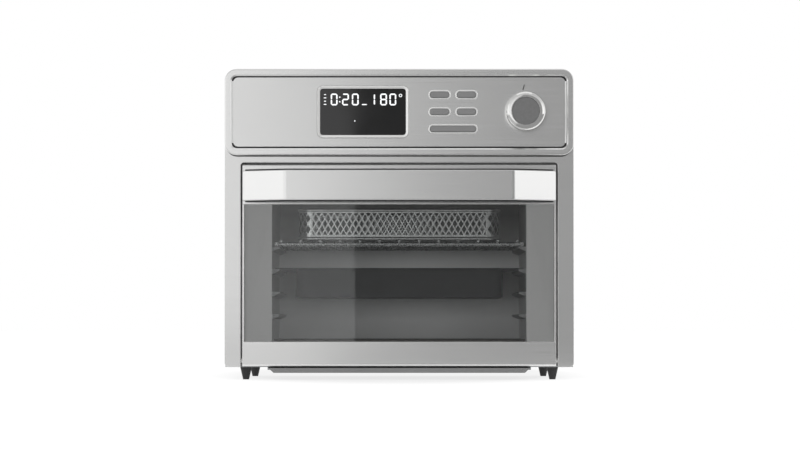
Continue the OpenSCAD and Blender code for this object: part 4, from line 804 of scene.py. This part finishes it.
# Painted shadow: the glow's strength falls to the grey level near the oven
painted_shadow_place = floor_tree.nodes.new("ShaderNodeTexCoord")
painted_shadow_stretch = floor_tree.nodes.new("ShaderNodeMapping")
painted_shadow_stretch.inputs["Location"].default_value = (0, -painted_shadow_back * painted_shadow_squeeze, 0)
painted_shadow_stretch.inputs["Scale"].default_value = (1, painted_shadow_squeeze, 1)
painted_shadow_distance = floor_tree.nodes.new("ShaderNodeVectorMath")
painted_shadow_distance.operation = "LENGTH"
painted_shadow_level = floor_tree.nodes.new("ShaderNodeMapRange")
painted_shadow_level.inputs["From Min"].default_value = painted_shadow_reach
painted_shadow_level.inputs["From Max"].default_value = floor_white_reach
painted_shadow_level.inputs["To Min"].default_value = painted_shadow_glow
painted_shadow_level.inputs["To Max"].default_value = floor_white
floor_shown = floor_tree.nodes.new("ShaderNodeAddShader")
floor_plain = floor_tree.nodes.new("ShaderNodeBsdfDiffuse")
floor_plain.inputs["Color"].default_value = grey(floor_plain_tone)
floor_either = floor_tree.nodes.new("ShaderNodeMixShader")
floor_tree.links.new(painted_shadow_place.outputs["Object"], painted_shadow_stretch.inputs["Vector"])
floor_tree.links.new(painted_shadow_stretch.outputs["Vector"], painted_shadow_distance.inputs[0])
floor_tree.links.new(painted_shadow_distance.outputs["Value"], painted_shadow_level.inputs["Value"])
floor_tree.links.new(painted_shadow_level.outputs["Result"], floor_glow.inputs["Strength"])
floor_tree.links.new(floor_matt.outputs["BSDF"], floor_shown.inputs[0])
floor_tree.links.new(floor_glow.outputs["Emission"], floor_shown.inputs[1])
floor_tree.links.new(seen_rays(floor_tree), floor_either.inputs["Fac"])
floor_tree.links.new(floor_plain.outputs["BSDF"], floor_either.inputs[1])
floor_tree.links.new(floor_shown.outputs["Shader"], floor_either.inputs[2])
floor_tree.links.new(floor_either.outputs["Shader"], floor_tree.nodes["Material Output"].inputs["Surface"])
floor_mesh = bmesh.new()
bmesh.ops.create_grid(floor_mesh, x_segments=1, y_segments=1, size=floor_half)
floor = make_object(floor_mesh, "floor", floor_paper)

# Grey cards: two sheets of board on the floor in front. The left one is short, and the right one
# is bent up at its far end. Only metal and glass show them, as the darker parts of the steel.
card_split = -0.088
card_gap = 0.12
card_lift = 0.5 * MM
card_near = door_front - card_gap
# Each card's name, side, width, length, height of its bent end and tone
grey_cards = (("left_card", -1, 1.6, 1.0, 0, 0.55), ("right_card", 1, 3.0, 2.88, 2.6, 0.345))
for card_name, card_side, card_width, card_length, card_height, card_tone in grey_cards:
    card_board = bpy.data.materials.new(card_name)
    card_board.use_nodes = True
    card_tree = card_board.node_tree
    card_tree.nodes.remove(card_tree.nodes["Principled BSDF"])
    card_glow = card_tree.nodes.new("ShaderNodeEmission")
    card_glow.inputs["Color"].default_value = grey(card_tone)
    card_tree.links.new(card_glow.outputs["Emission"], card_tree.nodes["Material Output"].inputs["Surface"])
    card_middle = Vector((card_split + card_side * card_width / 2, card_near - card_length / 2, card_lift))
    card_mesh = bmesh.new()
    card_lying = bmesh.ops.create_grid(card_mesh, x_segments=1, y_segments=1, size=0.5)["verts"]
    bmesh.ops.scale(card_mesh, verts=card_lying, vec=(card_width, card_length, 1))
    bmesh.ops.translate(card_mesh, verts=card_lying, vec=card_middle)
    if card_height:
        card_bend = [e for e in card_mesh.edges if all(v.co.y < card_middle.y for v in e.verts)]
        draw_wall(card_mesh, card_bend, (0, 0, card_height))
    grey_card = make_object(card_mesh, card_name, card_board)
    grey_card.visible_camera = False
    grey_card.visible_diffuse = False
    grey_card.visible_shadow = False

# Studio: a room that is white all round and greyer overhead, with soft boxes at both sides and
# over the top that brighten the steel's edges, and a wide one in front that reaches into the cavity.
room_white_rise = 0.12
room_grey_rise = 0.75
room_white = 1
room_grey = 0.62
world = bpy.data.worlds.new("studio")
bpy.context.scene.world = world
world.use_nodes = True
world_tree = world.node_tree
world_light = world_tree.nodes["Background"]
world_way = world_tree.nodes.new("ShaderNodeTexCoord")
world_height = world_tree.nodes.new("ShaderNodeSeparateXYZ")
world_tone = world_tree.nodes.new("ShaderNodeValToRGB")
world_tone.color_ramp.elements[0].position = room_white_rise
world_tone.color_ramp.elements[0].color = grey(room_white)
world_tone.color_ramp.elements[1].position = room_grey_rise
world_tone.color_ramp.elements[1].color = grey(room_grey)
world_tree.links.new(world_way.outputs["Generated"], world_height.inputs["Vector"])
world_tree.links.new(world_height.outputs["Z"], world_tone.inputs["Fac"])
world_tree.links.new(world_tone.outputs["Color"], world_light.inputs["Color"])


def soft_box(name, place, aim, size, radiance, mirrored):
    """A lamp at a place that faces a point, as bright as its radiance says, shown by metal or not."""
    lamp = bpy.data.lights.new(name, "AREA")
    lamp.shape = "RECTANGLE"
    lamp.size, lamp.size_y = size
    lamp.energy = radiance * math.pi * size[0] * size[1]
    box = bpy.data.objects.new(name, lamp)
    box.location = place
    box.rotation_euler = (Vector(aim) - Vector(place)).to_track_quat("-Z", "Y").to_euler()
    box.visible_camera = False
    box.visible_glossy = mirrored
    box.visible_transmission = mirrored
    bpy.context.scene.collection.objects.link(box)


soft_box("front_box", place=(-0.3, -4.4, 0.27), aim=(0, -0.1, 0.2), size=(4.6, 0.5), radiance=7.4,
         mirrored=False)
soft_box("left_box", place=(-2.6, -1.25, 0.78), aim=(0, -0.15, 0.2), size=(1.6, 1.6), radiance=0.14,
         mirrored=True)
soft_box("right_box", place=(2.6, -1.25, 0.78), aim=(0, -0.15, 0.2), size=(1.6, 1.6), radiance=0.2,
         mirrored=True)
soft_box("top_box", place=(0, -0.2, 2.6), aim=(0, 0, 0.2), size=(2.0, 1.6), radiance=0.35,
         mirrored=True)

bpy.context.scene.view_settings.view_transform = "Standard"
